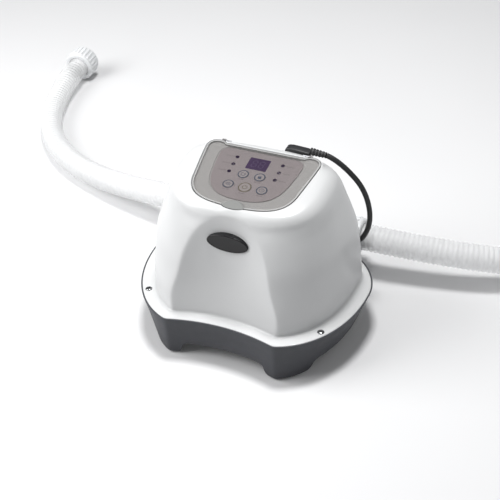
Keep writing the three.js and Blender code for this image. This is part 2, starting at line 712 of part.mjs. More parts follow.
// ---------------------------------------------------------------- hose joints, made for +X and mirrored
function unionNut() {
  const { start, end, radius, rib, ribs, thread, lipStart, lipBore, cuffBore } = NUT;
  let nut = ring([
    [start, radius - 2], [start + 2, radius], [end - 3, radius], [end, radius - 3],
    [end, lipBore], [lipStart, lipBore], [lipStart, cuffBore], [PIPE.half - 2, cuffBore],
    [PIPE.half - 2, thread], [start, thread],
  ], 24);
  for (let i = 0; i < ribs; i += 1) {
    const grip = box([start + 4, -2.2, radius - 1.5], [end - 6, 2.2, radius + rib]);
    grip.rotateX((2 * Math.PI * (i + 0.5)) / ribs);
    nut = nut.add(toSolid(grip));
  }
  return nut;
}

function hoseCuff() {
  const { face, flangeRadius, flangeThick, sleeveRadius, bore, length } = CUFF;
  return ring([
    [face, flangeRadius], [face + flangeThick, flangeRadius], [face + flangeThick, sleeveRadius],
    [face + length, sleeveRadius], [face + length, bore], [face, bore],
  ], 24);
}

function sealRing() {
  const profile = [];
  for (let i = 0; i < 6; i += 1) {
    const angle = (2 * Math.PI * i) / 6;
    const along = PIPE.half + 1.35 + SEAL.radius * Math.cos(angle);
    profile.push([along, SEAL.middle - SEAL.radius * Math.sin(angle)]);
  }
  return ring(profile, 20);
}

// Turns a piece made for the pipe's +X end to stand at `point` with its +X along `direction`.
function aimed(solid, point, direction, from) {
  const geometry = toGeometry(solid);
  geometry.translate(-from, 0, 0);
  const turn = new THREE.Quaternion().setFromUnitVectors(V3(1, 0, 0), direction.clone().normalize());
  geometry.applyQuaternion(turn);
  geometry.translate(point.x, point.y, point.z);
  return toSolid(geometry);
}

// ---------------------------------------------------------------- soft runs
// Left hose: out of the pipe, down to the floor and round towards the rear.
const LEFT_HOSE = [
  [-119, 212, 64], [-150, 212, 63.7], [-200, 215.5, 59], [-257, 224, 50.5], [-310, 235, 42],
  [-362, 248, 34.5],
  [-412, 264, 28.5], [-460, 284, 24.5], [-507, 311, 22.6], [-550, 347, 22.3], [-588, 393, 22.3],
  [-617, 448, 22.8], [-636, 508, 26], [-645, 560, 30.4], [-649, 608, 32.6],
];
// Right hose: out of the pipe and, past the unit, down to the floor and round towards the rear.
const RIGHT_HOSE = [
  [119, 212, 64], [150, 212, 63.7], [200, 217, 60.5], [250, 224.5, 56.5], [300, 235, 52], [345, 250, 46],
  [388, 273, 39], [426, 304, 32], [458, 343, 26.5], [482, 388, 23.3], [498, 438, 22.4], [508, 490, 22.3],
  [514, 545, 25], [518, 610, 29.6], [521, 701, 32.5],
];
// Lead: from its strain relief behind the panel round the right-hand side and down to the cell.
const LEAD = [
  [82.6, 151, 250.2], [89, 151.5, 247.7], [95.5, 152.2, 244], [107.5, 154, 234.6], [118, 156, 223.6],
  [128.6, 158, 210.5],
  [137.4, 160, 195], [143.6, 161.5, 178], [148, 162, 157.5], [148.6, 162, 136.5], [144.6, 161.5, 117],
  [136.5, 161.5, 100.5], [125, 163, 89.5], [112, 166, 84], [100, 169, 83],
  [93, 170.6, 83], [86.6, 171, 83],
];

function route(points) {
  return new THREE.CatmullRomCurve3(points.map((p) => V3(...p)), false, 'centripetal');
}

function tube(points, radius, bore, sides, steps) {
  const shape = new THREE.Shape();
  shape.absarc(0, 0, radius, 0, 2 * Math.PI);
  if (bore > 0) {
    const hole = new THREE.Path();
    hole.absarc(0, 0, bore, 0, 2 * Math.PI, true);
    shape.holes.push(hole);
  }
  const settings = { steps, bevelEnabled: false, extrudePath: route(points), curveSegments: sides / 2 };
  return outward(toSolid(new THREE.ExtrudeGeometry(shape, settings)));
}

function strainRelief(from, to, thin, thick) {
  const length = from.distanceTo(to);
  const ribs = 5;
  const profile = [V2(0, 0)];
  for (let i = 0; i < ribs; i += 1) {
    const radius = THREE.MathUtils.lerp(thick, thin, i / ribs);
    const start = (length * i) / ribs;
    profile.push(V2(radius, start), V2(radius, start + (length / ribs) * 0.6));
    profile.push(V2(radius - 0.9, start + (length / ribs) * 0.6 + 0.01));
    profile.push(V2(radius - 0.9, start + length / ribs - 0.01));
  }
  profile.push(V2(0, length));
  const geometry = new THREE.LatheGeometry(profile, 10);
  const turn = new THREE.Quaternion().setFromUnitVectors(V3(0, 1, 0), to.clone().sub(from).normalize());
  geometry.applyQuaternion(turn);
  geometry.translate(from.x, from.y, from.z);
  return outward(toSolid(geometry));
}

// Flat moulded plug behind the panel, with its blade reaching into the cover's socket.
function leadConnector() {
  const shape = new THREE.Shape();
  shape.moveTo(17, 243);
  shape.lineTo(57, 243);
  shape.lineTo(57, 252.5);
  shape.lineTo(28, 254.5);
  shape.quadraticCurveTo(19, 254, 17, 248.5);
  const body = new THREE.ExtrudeGeometry(shape, { depth: 14, bevelEnabled: false, curveSegments: 5 });
  body.rotateX(Math.PI / 2);
  body.translate(0, 158, 0);
  const blade = box([SOCKET.x - 7, 124, SOCKET.z - 3.6], [SOCKET.x + 7, 158, SOCKET.z + 3.6]);
  const web = box([SOCKET.x - 9, 148, SOCKET.z - 4], [SOCKET.x + 9, 158, 244]);
  return toSolid(body).add(toSolid(blade)).add(toSolid(web));
}

function mainsGland() {
  const gland = toSolid(post(0, 0, 0, 14, 8.5, 7, 16)).subtract(toSolid(post(0, 0, -2, 16, 3.8, 3.8, 12)));
  return toSolid(alongY(toGeometry(gland), GLAND));
}

// Lays an upright geometry down so that its top points to the rear, at a point.
function alongY(geometry, { x, y, z }) {
  geometry.rotateX(-Math.PI / 2);
  geometry.translate(x, y, z);
  return geometry;
}

// ---------------------------------------------------------------- assembly
const unit = new THREE.Group();
unit.position.y = -ORIGIN_Y;

function add(name, solid, material) {
  const mesh = new THREE.Mesh(toGeometry(solid), material);
  mesh.name = name;
  unit.add(mesh);
}

function addEnclosure() {
  add('base_tray', baseTray(), charcoal());
  const [frontPad, rearPad] = [[93, -64], [98, 122]];
  for (const [end, [x, y]] of [['front', frontPad], ['rear', rearPad]]) {
    add(`foot_pad_${end}_left`, footPad(-x, y), rubber());
    add(`foot_pad_${end}_right`, footPad(x, y), rubber());
  }
  add('top_cover', topCover(), white());
  add('badge', badge(), blackPlastic());
  for (const [place, [x, y]] of Object.entries(SCREWS)) add(`screw_${place}`, screw(x, y), chrome());
  add('mains_gland', mainsGland(), blackPlastic());
}

function addPanel() {
  add('panel_bezel', bezel(), bezelGrey());
  add('panel_label', panelLabel(), labelMauve());
  add('display_window', displayWindow(), violetGlass());
  for (const [name, [u, v, radius]] of Object.entries(BUTTONS)) add(name, button(u, v, radius), labelMauve());
  for (const [side, label] of [[-1, 'left'], [1, 'right']]) {
    INDICATOR.rows.forEach((v, row) => {
      add(`indicator_${label}_${row + 1}`, indicator(side * INDICATOR.u, v), violetGlass());
    });
    add(`hinge_pin_${label}`, hingePin(side), steel());
  }
  add('lid', lid(), smokedClear());
}

function addElectronics() {
  add('main_board', mainBoard(), boardGreen());
  add('display_board', displayBoard(), boardGreen());
  add('transformer_core', transformerCore(), steel());
  add('transformer_coil', transformerCoil(), copper());
  add('terminal_block', terminalBlock(), blackPlastic());
  add('heat_sink', heatSink(), steel());
}

function addWaterway() {
  add('cell_housing', cellHousing(), pipeGrey());
  for (let i = 0; i < ELECTRODES; i += 1) add(`electrode_${i + 1}`, electrode(i), titanium());
  add('electrode_holder', electrodeHolder(), blackPlastic());
  add('cell_head', cellHead(), blackPlastic());
  add('flow_sensor', flowSensor(), blackPlastic());
  add('sensor_nut', sensorNut(), pipeGrey());
}

function addHose(label, side, points) {
  const start = V3(0, PIPE.y, PIPE.z);
  const out = V3(side, 0, 0);
  add(`${label}_union_nut`, aimed(unionNut(), start, out, 0), pipeGrey());
  add(`${label}_seal`, aimed(sealRing(), start, out, 0), rubber());
  add(`${label}_cuff`, aimed(hoseCuff(), start, out, 0), hoseClear());
  add(`${label}_hose`, tube(points, HOSE.radius, HOSE.bore, HOSE.sides, 18), hoseClear());
  const path = route(points);
  const end = path.getPoint(1);
  const back = path.getTangent(1).negate();
  const faceGap = CUFF.flangeThick + GAP;
  const cuffPoint = end.clone().addScaledVector(back, -faceGap);
  add(`${label}_end_cuff`, aimed(hoseCuff(), cuffPoint, back, CUFF.face), hoseClear());
  add(`${label}_end_nut`, aimed(unionNut(), cuffPoint, back, CUFF.face), pipeGrey());
}

function addLead() {
  const reliefEnd = V3(...LEAD[0]);
  const reliefStart = V3(57.8, 150.5, 252.3);
  add('lead_connector', leadConnector(), blackPlastic());
  const upperEnd = reliefEnd.clone().add(V3(-1.2, 0, 0.3));
  add('lead_relief_upper', strainRelief(reliefStart, upperEnd, 5, 6.1), rubber());
  add('cell_lead', tube(LEAD, LEAD_RADIUS, 0, 8, 40), rubber());
  const last = V3(...LEAD[LEAD.length - 1]);
  const lowerEnd = last.clone().add(V3(-0.8, 0, 0));
  add('lead_relief_lower', strainRelief(V3(70.3, 171, 83), lowerEnd, 5, 6.2), rubber());
}

addEnclosure();
addPanel();
addElectronics();
addWaterway();
addHose('left', -1, LEFT_HOSE);
addHose('right', 1, RIGHT_HOSE);
addLead();

const object = new THREE.Group();
object.add(unit);

export default object;
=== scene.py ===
"""Looks of a free-standing salt chlorine generator, built around its CAD frame.

Shapes are worked out in the unit's own frame in millimetres (front towards -Y, floor at z = 0)
and go into the scene in metres. Panel shapes use (u, v, w): across, up the slope, out of the panel.
"""
import math

import bmesh
import bpy
import numpy as np
from mathutils import Matrix, Vector


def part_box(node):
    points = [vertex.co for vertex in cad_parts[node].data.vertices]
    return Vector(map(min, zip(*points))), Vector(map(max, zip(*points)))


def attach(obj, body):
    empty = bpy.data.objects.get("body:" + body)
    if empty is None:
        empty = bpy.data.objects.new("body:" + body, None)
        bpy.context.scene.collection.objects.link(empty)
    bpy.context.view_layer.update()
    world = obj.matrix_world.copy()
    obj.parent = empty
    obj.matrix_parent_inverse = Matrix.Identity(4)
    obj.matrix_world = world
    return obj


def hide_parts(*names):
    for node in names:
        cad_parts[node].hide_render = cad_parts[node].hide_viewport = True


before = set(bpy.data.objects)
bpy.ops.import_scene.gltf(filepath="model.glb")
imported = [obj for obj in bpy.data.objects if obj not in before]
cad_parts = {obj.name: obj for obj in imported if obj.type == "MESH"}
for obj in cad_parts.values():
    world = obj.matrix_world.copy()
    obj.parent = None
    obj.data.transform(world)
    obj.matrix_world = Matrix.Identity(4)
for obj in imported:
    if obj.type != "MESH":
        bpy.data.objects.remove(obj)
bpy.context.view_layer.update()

MM = 0.001
UNIT_Y = 77.3  # the unit frame's Y at the scene's middle
TAU = 2 * math.pi


# ------------------------------------------------------------------ frames of reference
def to_scene(points):
    """Unit frame, millimetres, to scene frame, metres."""
    return (np.asarray(points, float) - (0, UNIT_Y, 0)) * MM


def to_unit(point):
    """Scene frame, metres, to unit frame, millimetres."""
    return np.asarray(point, float) / MM + (0, UNIT_Y, 0)


PANEL_Y, PANEL_Z = 34.3, 249.9
PANEL_SLOPE = math.radians(8.543)
PANEL_COS, PANEL_SIN = math.cos(PANEL_SLOPE), math.sin(PANEL_SLOPE)


def panel(u, v, w):
    """Panel coordinates to unit frame, millimetres; arrays or numbers."""
    u, v, w = np.broadcast_arrays(np.asarray(u, float), v, w)
    y = PANEL_Y + v * PANEL_COS - w * PANEL_SIN
    z = PANEL_Z + v * PANEL_SIN + w * PANEL_COS
    return np.stack([u, y, z], axis=-1)


def node_middle(name):
    low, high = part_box(name)
    return to_unit((low + high) / 2)


def placed(name, data):
    """A new object in the scene."""
    thing = bpy.data.objects.new(name, data)
    bpy.context.scene.collection.objects.link(thing)
    return thing


# ------------------------------------------------------------------ camera
AZIMUTH, ELEVATION, ROLL = (math.radians(a) for a in (25.51, 38.19, -3.44))
CAMERA_DISTANCE = 1609.69
LOOK_AT = (18.77, 0.0, 165.22)
LENS, SENSOR = 79.2, 36.0


def make_camera():
    back = Vector((math.sin(AZIMUTH) * math.cos(ELEVATION),
                   -math.cos(AZIMUTH) * math.cos(ELEVATION), math.sin(ELEVATION)))
    right = Vector((math.cos(AZIMUTH), math.sin(AZIMUTH), 0))
    up = back.cross(right)
    right, up = (math.cos(ROLL) * right + math.sin(ROLL) * up,
                 math.cos(ROLL) * up - math.sin(ROLL) * right)
    place = Vector(to_scene(LOOK_AT)) + back * CAMERA_DISTANCE * MM
    data = bpy.data.cameras.new("camera")
    data.lens, data.sensor_width = LENS, SENSOR
    data.clip_start, data.clip_end = 0.05, 60
    camera = placed("camera", data)
    turn = Matrix((right, up, back)).transposed().to_4x4()
    camera.matrix_world = Matrix.Translation(place) @ turn
    bpy.context.scene.camera = camera


make_camera()


# ------------------------------------------------------------------ materials
def new_material(name):
    material = bpy.data.materials.new(name)
    material.use_nodes = True
    tree = material.node_tree
    shader = tree.nodes["Principled BSDF"]
    return material, tree, shader


def link(tree, a, out, b, into):
    tree.links.new(a.outputs[out], b.inputs[into])


def new_node(tree, kind, **values):
    """A node with these values in its inputs; an underscore stands for a space."""
    node = tree.nodes.new("ShaderNode" + kind)
    for name, value in values.items():
        node.inputs[name.replace("_", " ")].default_value = value
    return node


def maths(tree, operation, *values):
    """A node that works on what is linked to its first input, with these values in the others."""
    node = new_node(tree, "Math")
    node.operation = operation
    for k, value in enumerate(values, 1):
        node.inputs[k].default_value = value
    return node


def noise(tree, scale, detail, roughness=0.55):
    texture = new_node(tree, "TexNoise", Scale=scale, Detail=detail, Roughness=roughness)
    link(tree, new_node(tree, "TexCoord"), "Object", texture, "Vector")
    return texture


NOISE_LOW, NOISE_HIGH = 0.3, 0.7  # most values of a noise texture lie between these


def spread(tree, texture, low, high):
    """A node whose result is the noise texture stretched to low..high."""
    ranged = new_node(tree, "MapRange", From_Min=NOISE_LOW, From_Max=NOISE_HIGH, To_Min=low, To_Max=high)
    link(tree, texture, "Fac", ranged, "Value")
    return ranged


def tinted(tree, source, out, low, high, target, into):
    """Joins a 0..1 output to a colour input, as a colour between low and high."""
    mix = new_node(tree, "Mix")
    mix.data_type = "RGBA"
    mix.inputs["A"].default_value = (*low, 1)
    mix.inputs["B"].default_value = (*high, 1)
    link(tree, source, out, mix, "Factor")
    link(tree, mix, "Result", target, into)


def bump(tree, shader, height, distance):
    node = new_node(tree, "Bump", Distance=distance)
    link(tree, height, "Fac", node, "Height")
    link(tree, node, "Normal", shader, "Normal")


COAT_ROUGHNESS = 0.12
MIRROR_HEAD_ON, MIRROR_GRAZING = 0.035, 0.9  # the mirror's share straight on, and what grazing angles add


def moulded(name, colour, roughness, vary=0.03, rough_vary=0.05, grain=900, depth=0.00002,
            cloud=14, coat=0.0, metallic=0.0, specular=0.5):
    """Moulded plastic or metal: slow tonal drift, uneven gloss and a fine surface grain."""
    material, tree, shader = new_material(name)
    drift = spread(tree, noise(tree, cloud, 3), 0, 1)
    low = tuple(c * (1 - vary) for c in colour)
    high = tuple(min(1, c * (1 + vary)) for c in colour)
    tinted(tree, drift, "Result", low, high, shader, "Base Color")
    gloss = spread(tree, noise(tree, cloud * 5, 5, 0.65), roughness - rough_vary, roughness + rough_vary)
    link(tree, gloss, "Result", shader, "Roughness")
    bump(tree, shader, noise(tree, grain, 2, 0.5), depth)
    shader.inputs["Metallic"].default_value = metallic
    shader.inputs["Coat Weight"].default_value = coat
    shader.inputs["Coat Roughness"].default_value = COAT_ROUGHNESS
    shader.inputs["Specular IOR Level"].default_value = specular
    return material


def clear_pane(name, tint, mirror_rough, edge_tint):
    """Smoked clear moulding: tinted see-through, with a mirror that grows towards grazing angles."""
    material, tree, shader = new_material(name)
    tree.nodes.remove(shader)
    output = tree.nodes["Material Output"]
    through = new_node(tree, "BsdfTransparent")
    facing = new_node(tree, "LayerWeight", Blend=0.5)
    tinted(tree, facing, "Facing", tint, edge_tint, through, "Color")
    mirror = new_node(tree, "BsdfGlossy", Color=(0.95, 0.95, 0.95, 1))
    smear = spread(tree, noise(tree, 60, 4, 0.6), mirror_rough * 0.7, mirror_rough * 1.4)
    link(tree, smear, "Result", mirror, "Roughness")
    steep = maths(tree, "POWER", 5)
    link(tree, facing, "Facing", steep, 0)
    share = maths(tree, "MULTIPLY_ADD", MIRROR_GRAZING, MIRROR_HEAD_ON)
    link(tree, steep, "Value", share, 0)
    mix = new_node(tree, "MixShader")
    link(tree, share, "Value", mix, 0)
    link(tree, through, 0, mix, 1)
    link(tree, mirror, 0, mix, 2)
    link(tree, mix, 0, output, "Surface")
    return material


def milky(name, colour, roughness, opacity):
    """Translucent vinyl: part of the light, and of what lies behind, comes through."""
    material, tree, shader = new_material(name)
    drift = spread(tree, noise(tree, 30, 4), 0, 1)
    tinted(tree, drift, "Result", tuple(c * 0.97 for c in colour), colour, shader, "Base Color")
    gloss = spread(tree, noise(tree, 90, 4), roughness - 0.05, roughness + 0.06)
    link(tree, gloss, "Result", shader, "Roughness")
    shader.inputs["Alpha"].default_value = opacity
    bump(tree, shader, noise(tree, 700, 2), 0.00003)
    return material


WHITE = moulded("white_plastic", (0.63, 0.635, 0.637), 0.3, vary=0.006, rough_vary=0.012,
                grain=1500, depth=0.000004, coat=0.2)
CHARCOAL = moulded("charcoal_plastic", (0.056, 0.058, 0.066), 0.55, specular=0.35, vary=0.05,
                   grain=1700, depth=0.00005)
BLACK_SATIN = moulded("black_plastic", (0.022, 0.022, 0.024), 0.42, grain=1400, depth=0.00003)
BADGE_GLOSS = moulded("badge_gloss", (0.010, 0.010, 0.011), 0.25, specular=0.25, vary=0.1,
                      grain=1200, depth=0.000008)
BADGE_PRINT = moulded("badge_face", (0.020, 0.020, 0.021), 0.36, specular=0.3, vary=0.06,
                      grain=1500, depth=0.00001)
PAD_RUBBER = moulded("pad_rubber", (0.02, 0.02, 0.02), 0.85, vary=0.15, grain=800, depth=0.00008)
LEAD_RUBBER = moulded("lead_rubber", (0.021, 0.021, 0.022), 0.5, vary=0.12, grain=1100, depth=0.00003)
BEZEL = moulded("bezel_plastic", (0.66, 0.665, 0.665), 0.34, vary=0.02, grain=1400, depth=0.00001)
LABEL = moulded("label_film", (0.49, 0.45, 0.465), 0.42, cloud=9, grain=2200, depth=0.000012)
BUTTON_FILM = moulded("button_film", (0.53, 0.49, 0.50), 0.4, grain=2200, depth=0.000012)
DISPLAY = moulded("display_lens", (0.115, 0.075, 0.17), 0.12, vary=0.06, rough_vary=0.03,
                  depth=0.000004, coat=0.15)
DIGIT = moulded("display_digits", (0.145, 0.105, 0.205), 0.3, vary=0.05)
INDICATOR = moulded("indicator_lens", (0.045, 0.026, 0.07), 0.16, vary=0.1, rough_vary=0.04,
                    depth=0.00001, coat=0.1)
INK_BLUE = moulded("ink_blue_grey", (0.075, 0.115, 0.185), 0.5, vary=0.08)
INK_OLIVE = moulded("ink_olive", (0.235, 0.215, 0.135), 0.5, vary=0.08)
INK_FAINT = moulded("ink_faint", (0.255, 0.225, 0.24), 0.5, vary=0.08)
CHROME = moulded("chrome", (0.30, 0.305, 0.31), 0.2, vary=0.04, grain=1300,
                 depth=0.000015, metallic=1.0)
STEEL = moulded("steel", (0.5, 0.5, 0.52), 0.32, vary=0.06, grain=1200, metallic=1.0)
BOARD = moulded("circuit_board", (0.02, 0.12, 0.06), 0.4, vary=0.15, cloud=60)
COPPER = moulded("copper", (0.55, 0.26, 0.12), 0.35, vary=0.12, grain=600, depth=0.0001, metallic=0.9)
ALUMINIUM = moulded("aluminium", (0.6, 0.6, 0.62), 0.35, vary=0.04, metallic=1.0)
TITANIUM = moulded("titanium", (0.2, 0.19, 0.18), 0.45, vary=0.1, metallic=0.8)
PIPE_GREY = moulded("pipe_plastic", (0.72, 0.73, 0.74), 0.36, vary=0.02, grain=1300)
HOSE_VINYL = milky("hose_vinyl", (0.90, 0.905, 0.91), 0.4, 0.36)
LID_CLEAR = clear_pane("smoked_clear", (0.86, 0.853, 0.85), 0.06, (0.62, 0.61, 0.60))
# Darker smoked tint for the lid's side faces: painted shade for the dark lines that refraction draws along
# clear plastic's edges
LID_EDGE_SHADE = clear_pane("smoked_edge_painted_shade", (0.42, 0.41, 0.41), 0.1, (0.3, 0.3, 0.3))
LID_RIM = milky("smoked_rim", (0.40, 0.40, 0.395), 0.34, 0.8)
TAB_FROST = moulded("tab_frost", (0.215, 0.218, 0.212), 0.6, specular=0.2, grain=1800, depth=0.00004)


# ------------------------------------------------------------------ mesh tools
def add_object(name, mesh, materials, body, replaces=(), sharp=40):
    """One piece of the object; materials is one or a list, sharp the angle in degrees of its hard edges."""
    mesh.validate()
    for polygon in mesh.polygons:
        polygon.use_smooth = len(polygon.vertices) <= 4
    mesh.set_sharp_from_angle(angle=math.radians(sharp))
    for material in materials if isinstance(materials, list) else [materials]:
        mesh.materials.append(material)
    piece = placed(name, mesh)
    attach(piece, body)
    if replaces:
        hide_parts(*replaces)
    return piece


def mesh_from(name, vertices, faces):
    mesh = bpy.data.meshes.new(name)
    mesh.from_pydata([tuple(v) for v in vertices], [], faces)
    mesh.update()
    return mesh


def grid_faces(rows, columns, wrap_rows):
    """Quads of a grid whose columns wrap round."""
    faces = []
    for r in range(rows if wrap_rows else rows - 1):
        a, b = r * columns, ((r + 1) % rows) * columns
        for c in range(columns):
            d = (c + 1) % columns
            faces.append((a + c, a + d, b + d, b + c))
    return faces


def loft(name, rings, wrap_rows=False):
    """A closed mesh through rings (rows x columns x 3, millimetres, unit frame), with its faces outwards."""
    rings = np.asarray(rings, float)
    rows, columns = rings.shape[:2]
    faces = grid_faces(rows, columns, wrap_rows)
    if not wrap_rows:
        faces.append(tuple(range(columns))[::-1])
        faces.append(tuple(range((rows - 1) * columns, rows * columns)))
    mesh = mesh_from(name, to_scene(rings.reshape(-1, 3)), faces)
    work = bmesh.new()
    work.from_mesh(mesh)
    bmesh.ops.recalc_face_normals(work, faces=work.faces)
    work.to_mesh(mesh)
    work.free()
    return mesh


def joined(name, meshes):
    """One mesh of several separate ones."""
    work = bmesh.new()
    for mesh in meshes:
        work.from_mesh(mesh)
        bpy.data.meshes.remove(mesh)
    result = bpy.data.meshes.new(name)
    work.to_mesh(result)
    work.free()
    return result


def with_modifiers(mesh, *settings):
    """The mesh after modifiers, each given as (type, {property: value})."""
    carrier = placed("carrier", mesh)
    for kind, values in settings:
        modifier = carrier.modifiers.new(kind.lower(), kind)
        for key, value in values.items():
            setattr(modifier, key, value)
    bpy.context.view_layer.update()
    evaluated = carrier.evaluated_get(bpy.context.evaluated_depsgraph_get())
    result = bpy.data.meshes.new_from_object(evaluated)
    bpy.data.objects.remove(carrier)
    return result


def cut(mesh, cutter):
    """The mesh without what lies inside the cutter."""
    tool = placed("cutter", cutter)
    result = with_modifiers(mesh, ("BOOLEAN", {"object": tool, "operation": "DIFFERENCE", "solver": "EXACT"}))
    bpy.data.objects.remove(tool)
    return result


def bevelled(mesh, width, segments, angle=40):
    return with_modifiers(mesh, ("BEVEL", {
        "width": width * MM, "segments": segments, "limit_method": "ANGLE",
        "angle_limit": math.radians(angle), "harden_normals": False}))


def circle(sides):
    """Angles evenly round a circle."""
    return np.arange(sides) * TAU / sides


def square_to(along):
    """A unit vector at right angles to another."""
    side = np.cross(along, (0, 0, 1) if abs(along[2]) < 0.9 else (1, 0, 0))
    return side / np.linalg.norm(side)


def turned(profile, sides, about, along):
    """A closed turned ring. profile is [(distance along the axis, radius)], closed on itself.

    A radius is one number, or one for each side.
    """
    along = np.asarray(along, float) / np.linalg.norm(along)
    side, angles = square_to(along), circle(sides)
    around = np.cos(angles)[:, None] * side + np.sin(angles)[:, None] * np.cross(along, side)
    rings = [np.asarray(about) + along * d + around * np.reshape(r, (-1, 1)) for d, r in profile]
    return loft("turned", rings, wrap_rows=True)


CORNER_STEPS = 4


def rounded(profile, radius):
    """A closed profile with its corners replaced by small arcs."""
    points = [np.asarray(p, float) for p in profile]
    result = []
    for i, corner in enumerate(points):
        before, after = points[i - 1], points[(i + 1) % len(points)]
        to_before, to_after = before - corner, after - corner
        reach = min(radius, np.linalg.norm(to_before) * 0.45, np.linalg.norm(to_after) * 0.45)
        start = corner + to_before / np.linalg.norm(to_before) * reach
        end = corner + to_after / np.linalg.norm(to_after) * reach
        for t in np.arange(CORNER_STEPS + 1) / CORNER_STEPS:
            result.append((1 - t) ** 2 * start + 2 * t * (1 - t) * corner + t * t * end)
    return result


def block(low, high, bevel, segments=2):
    """A box with rounded edges."""
    low, high = np.asarray(low, float), np.asarray(high, float)
    corners = [(x, y, z) for z in (low[2], high[2]) for x, y in
               ((low[0], low[1]), (high[0], low[1]), (high[0], high[1]), (low[0], high[1]))]
    faces = [(3, 2, 1, 0), (4, 5, 6, 7), (0, 1, 5, 4), (1, 2, 6, 5), (2, 3, 7, 6), (3, 0, 4, 7)]
    return bevelled(mesh_from("block", to_scene(corners), faces), bevel, segments)


def smooth_step(value, low, high):
    """0 up to low, 1 from high on, and a smooth climb between."""
    t = np.clip((np.asarray(value, float) - low) / (high - low), 0, 1)
    return t * t * (3 - 2 * t)


def bezier(points, count):
    """Points of a straight, quadratic or cubic curve between control points, without its last one."""
    t = (np.arange(count) / count)[:, None]
    last = len(points) - 1
    return sum(math.comb(last, k) * (1 - t) ** (last - k) * t ** k * np.asarray(p, float)
               for k, p in enumerate(points))


def travelled(line):
    """The distance along a line at each of its points."""
    return np.r_[0, np.cumsum(np.linalg.norm(np.diff(line, axis=0), axis=1))]


def at_distances(line, where):
    """Points of a line at these distances along it."""
    return np.stack([np.interp(where, travelled(line), column) for column in line.T], axis=1)


def mirrored(right):
    """A closed outline from its right half, which starts and ends on the middle line."""
    return np.vstack([right, right[1:-1][::-1] * (-1, 1)])


def even(outline, count):
    """A closed outline again, with points at equal distances."""
    closed = np.vstack([outline, outline[:1]])
    return at_distances(closed, np.arange(count) * travelled(closed)[-1] / count)


def normals_of(outline):
    """Outward normals of an anticlockwise closed plane outline."""
    along = np.roll(outline, -1, axis=0) - np.roll(outline, 1, axis=0)
    normal = np.stack([along[:, 1], -along[:, 0]], axis=1)
    return normal / np.linalg.norm(normal, axis=1)[:, None]


def softened(outline, times):
    """A closed outline with its corners eased."""
    for _ in range(times):
        outline = (np.roll(outline, 1, axis=0) + 2 * outline + np.roll(outline, -1, axis=0)) / 4
    return outline


def polar(outline, centre, angles):
    """Where rays from the centre at these angles meet an outline that is round about it."""
    relative = outline - centre
    found = np.arctan2(relative[:, 1], relative[:, 0])
    radius = np.linalg.norm(relative, axis=1)
    order = np.argsort(found)
    reach = np.interp(angles, found[order], radius[order], period=TAU)
    return centre + np.stack([np.cos(angles), np.sin(angles)], axis=1) * reach[:, None]


def flowing(rings, counts, ghost=None):
    """Rows between control rings on Catmull-Rom curves; counts rows in each span."""
    rings = [np.asarray(r, float) for r in rings]
    first = 2 * rings[0] - rings[1]
    last = ghost if ghost is not None else 2 * rings[-1] - rings[-2]
    full = [first, *rings, last]
    rows = []
    for k, count in enumerate(counts):
        a, b, c, d = full[k:k + 4]
        gaps = [np.maximum(np.linalg.norm(q - p, axis=1), 1e-6)[:, None] ** 0.5
                for p, q in ((a, b), (b, c), (c, d))]
        slope_b = ((b - a) / gaps[0] - (c - a) / (gaps[0] + gaps[1]) + (c - b) / gaps[1]) * gaps[1]
        slope_c = ((c - b) / gaps[1] - (d - b) / (gaps[1] + gaps[2]) + (d - c) / gaps[2]) * gaps[1]
        for i in range(count):
            t = i / count
            rows.append((2 * t ** 3 - 3 * t ** 2 + 1) * b + (t ** 3 - 2 * t ** 2 + t) * slope_b
                        + (-2 * t ** 3 + 3 * t ** 2) * c + (t ** 3 - t ** 2) * slope_c)
    rows.append(rings[-1])
    return rows


# ------------------------------------------------------------------ cords: hoses and cell lead
LEFT_HOSE = [
    (-119, 212, 64), (-150, 212, 63.7), (-200, 215.5, 59), (-257, 224, 50.5), (-310, 235, 42),
    (-362, 248, 34.5), (-412, 264, 28.5), (-460, 284, 24.5), (-507, 311, 22.6), (-550, 347, 22.3),
    (-588, 393, 22.3), (-617, 448, 22.8), (-636, 508, 26), (-645, 560, 30.4), (-649, 608, 32.6),
]
RIGHT_HOSE = [
    (119, 212, 64), (150, 212, 63.7), (200, 217, 60.5), (250, 224.5, 56.5), (300, 235, 52),
    (345, 250, 46), (388, 273, 39), (426, 304, 32), (458, 343, 26.5), (482, 388, 23.3),
    (498, 438, 22.4), (508, 490, 22.3), (514, 545, 25), (518, 610, 29.6), (521, 701, 32.5),
]
LEAD = [
    (82.6, 151, 250.2), (89, 151.5, 247.7), (95.5, 152.2, 244), (107.5, 154, 234.6),
    (118, 156, 223.6), (128.6, 158, 210.5), (137.4, 160, 195), (143.6, 161.5, 178),
    (148, 162, 157.5), (148.6, 162, 136.5), (144.6, 161.5, 117), (136.5, 161.5, 100.5),
    (125, 163, 89.5), (112, 166, 84), (100, 169, 83), (93, 170.6, 83), (86.6, 171, 83),
]
HOSE_RADIUS, HOSE_BORE, RIB_PITCH, RIB_DEPTH = 22.0, 19.2, 7.8, 1.5
LEAD_RADIUS = 4.1
STEPS_PER_RIB, HOSE_SIDES, LEAD_SIDES = 8, 48, 20
PLAIN_END = 14.0  # smooth ends of a hose, which grip the cuffs


def path_through(points, step):
    """A smooth path through points, in equal steps of about `step`: its points, tangents and length."""
    ends = [np.asarray(p, float) for p in points]
    curve = np.array(flowing([e[None, :] for e in ends], [24] * (len(ends) - 1)))[:, 0, :]
    length = travelled(curve)[-1]
    path = at_distances(curve, np.linspace(0, length, round(length / step) + 1))
    tangents = np.gradient(path, axis=0)
    tangents /= np.linalg.norm(tangents, axis=1)[:, None]
    return path, tangents, length


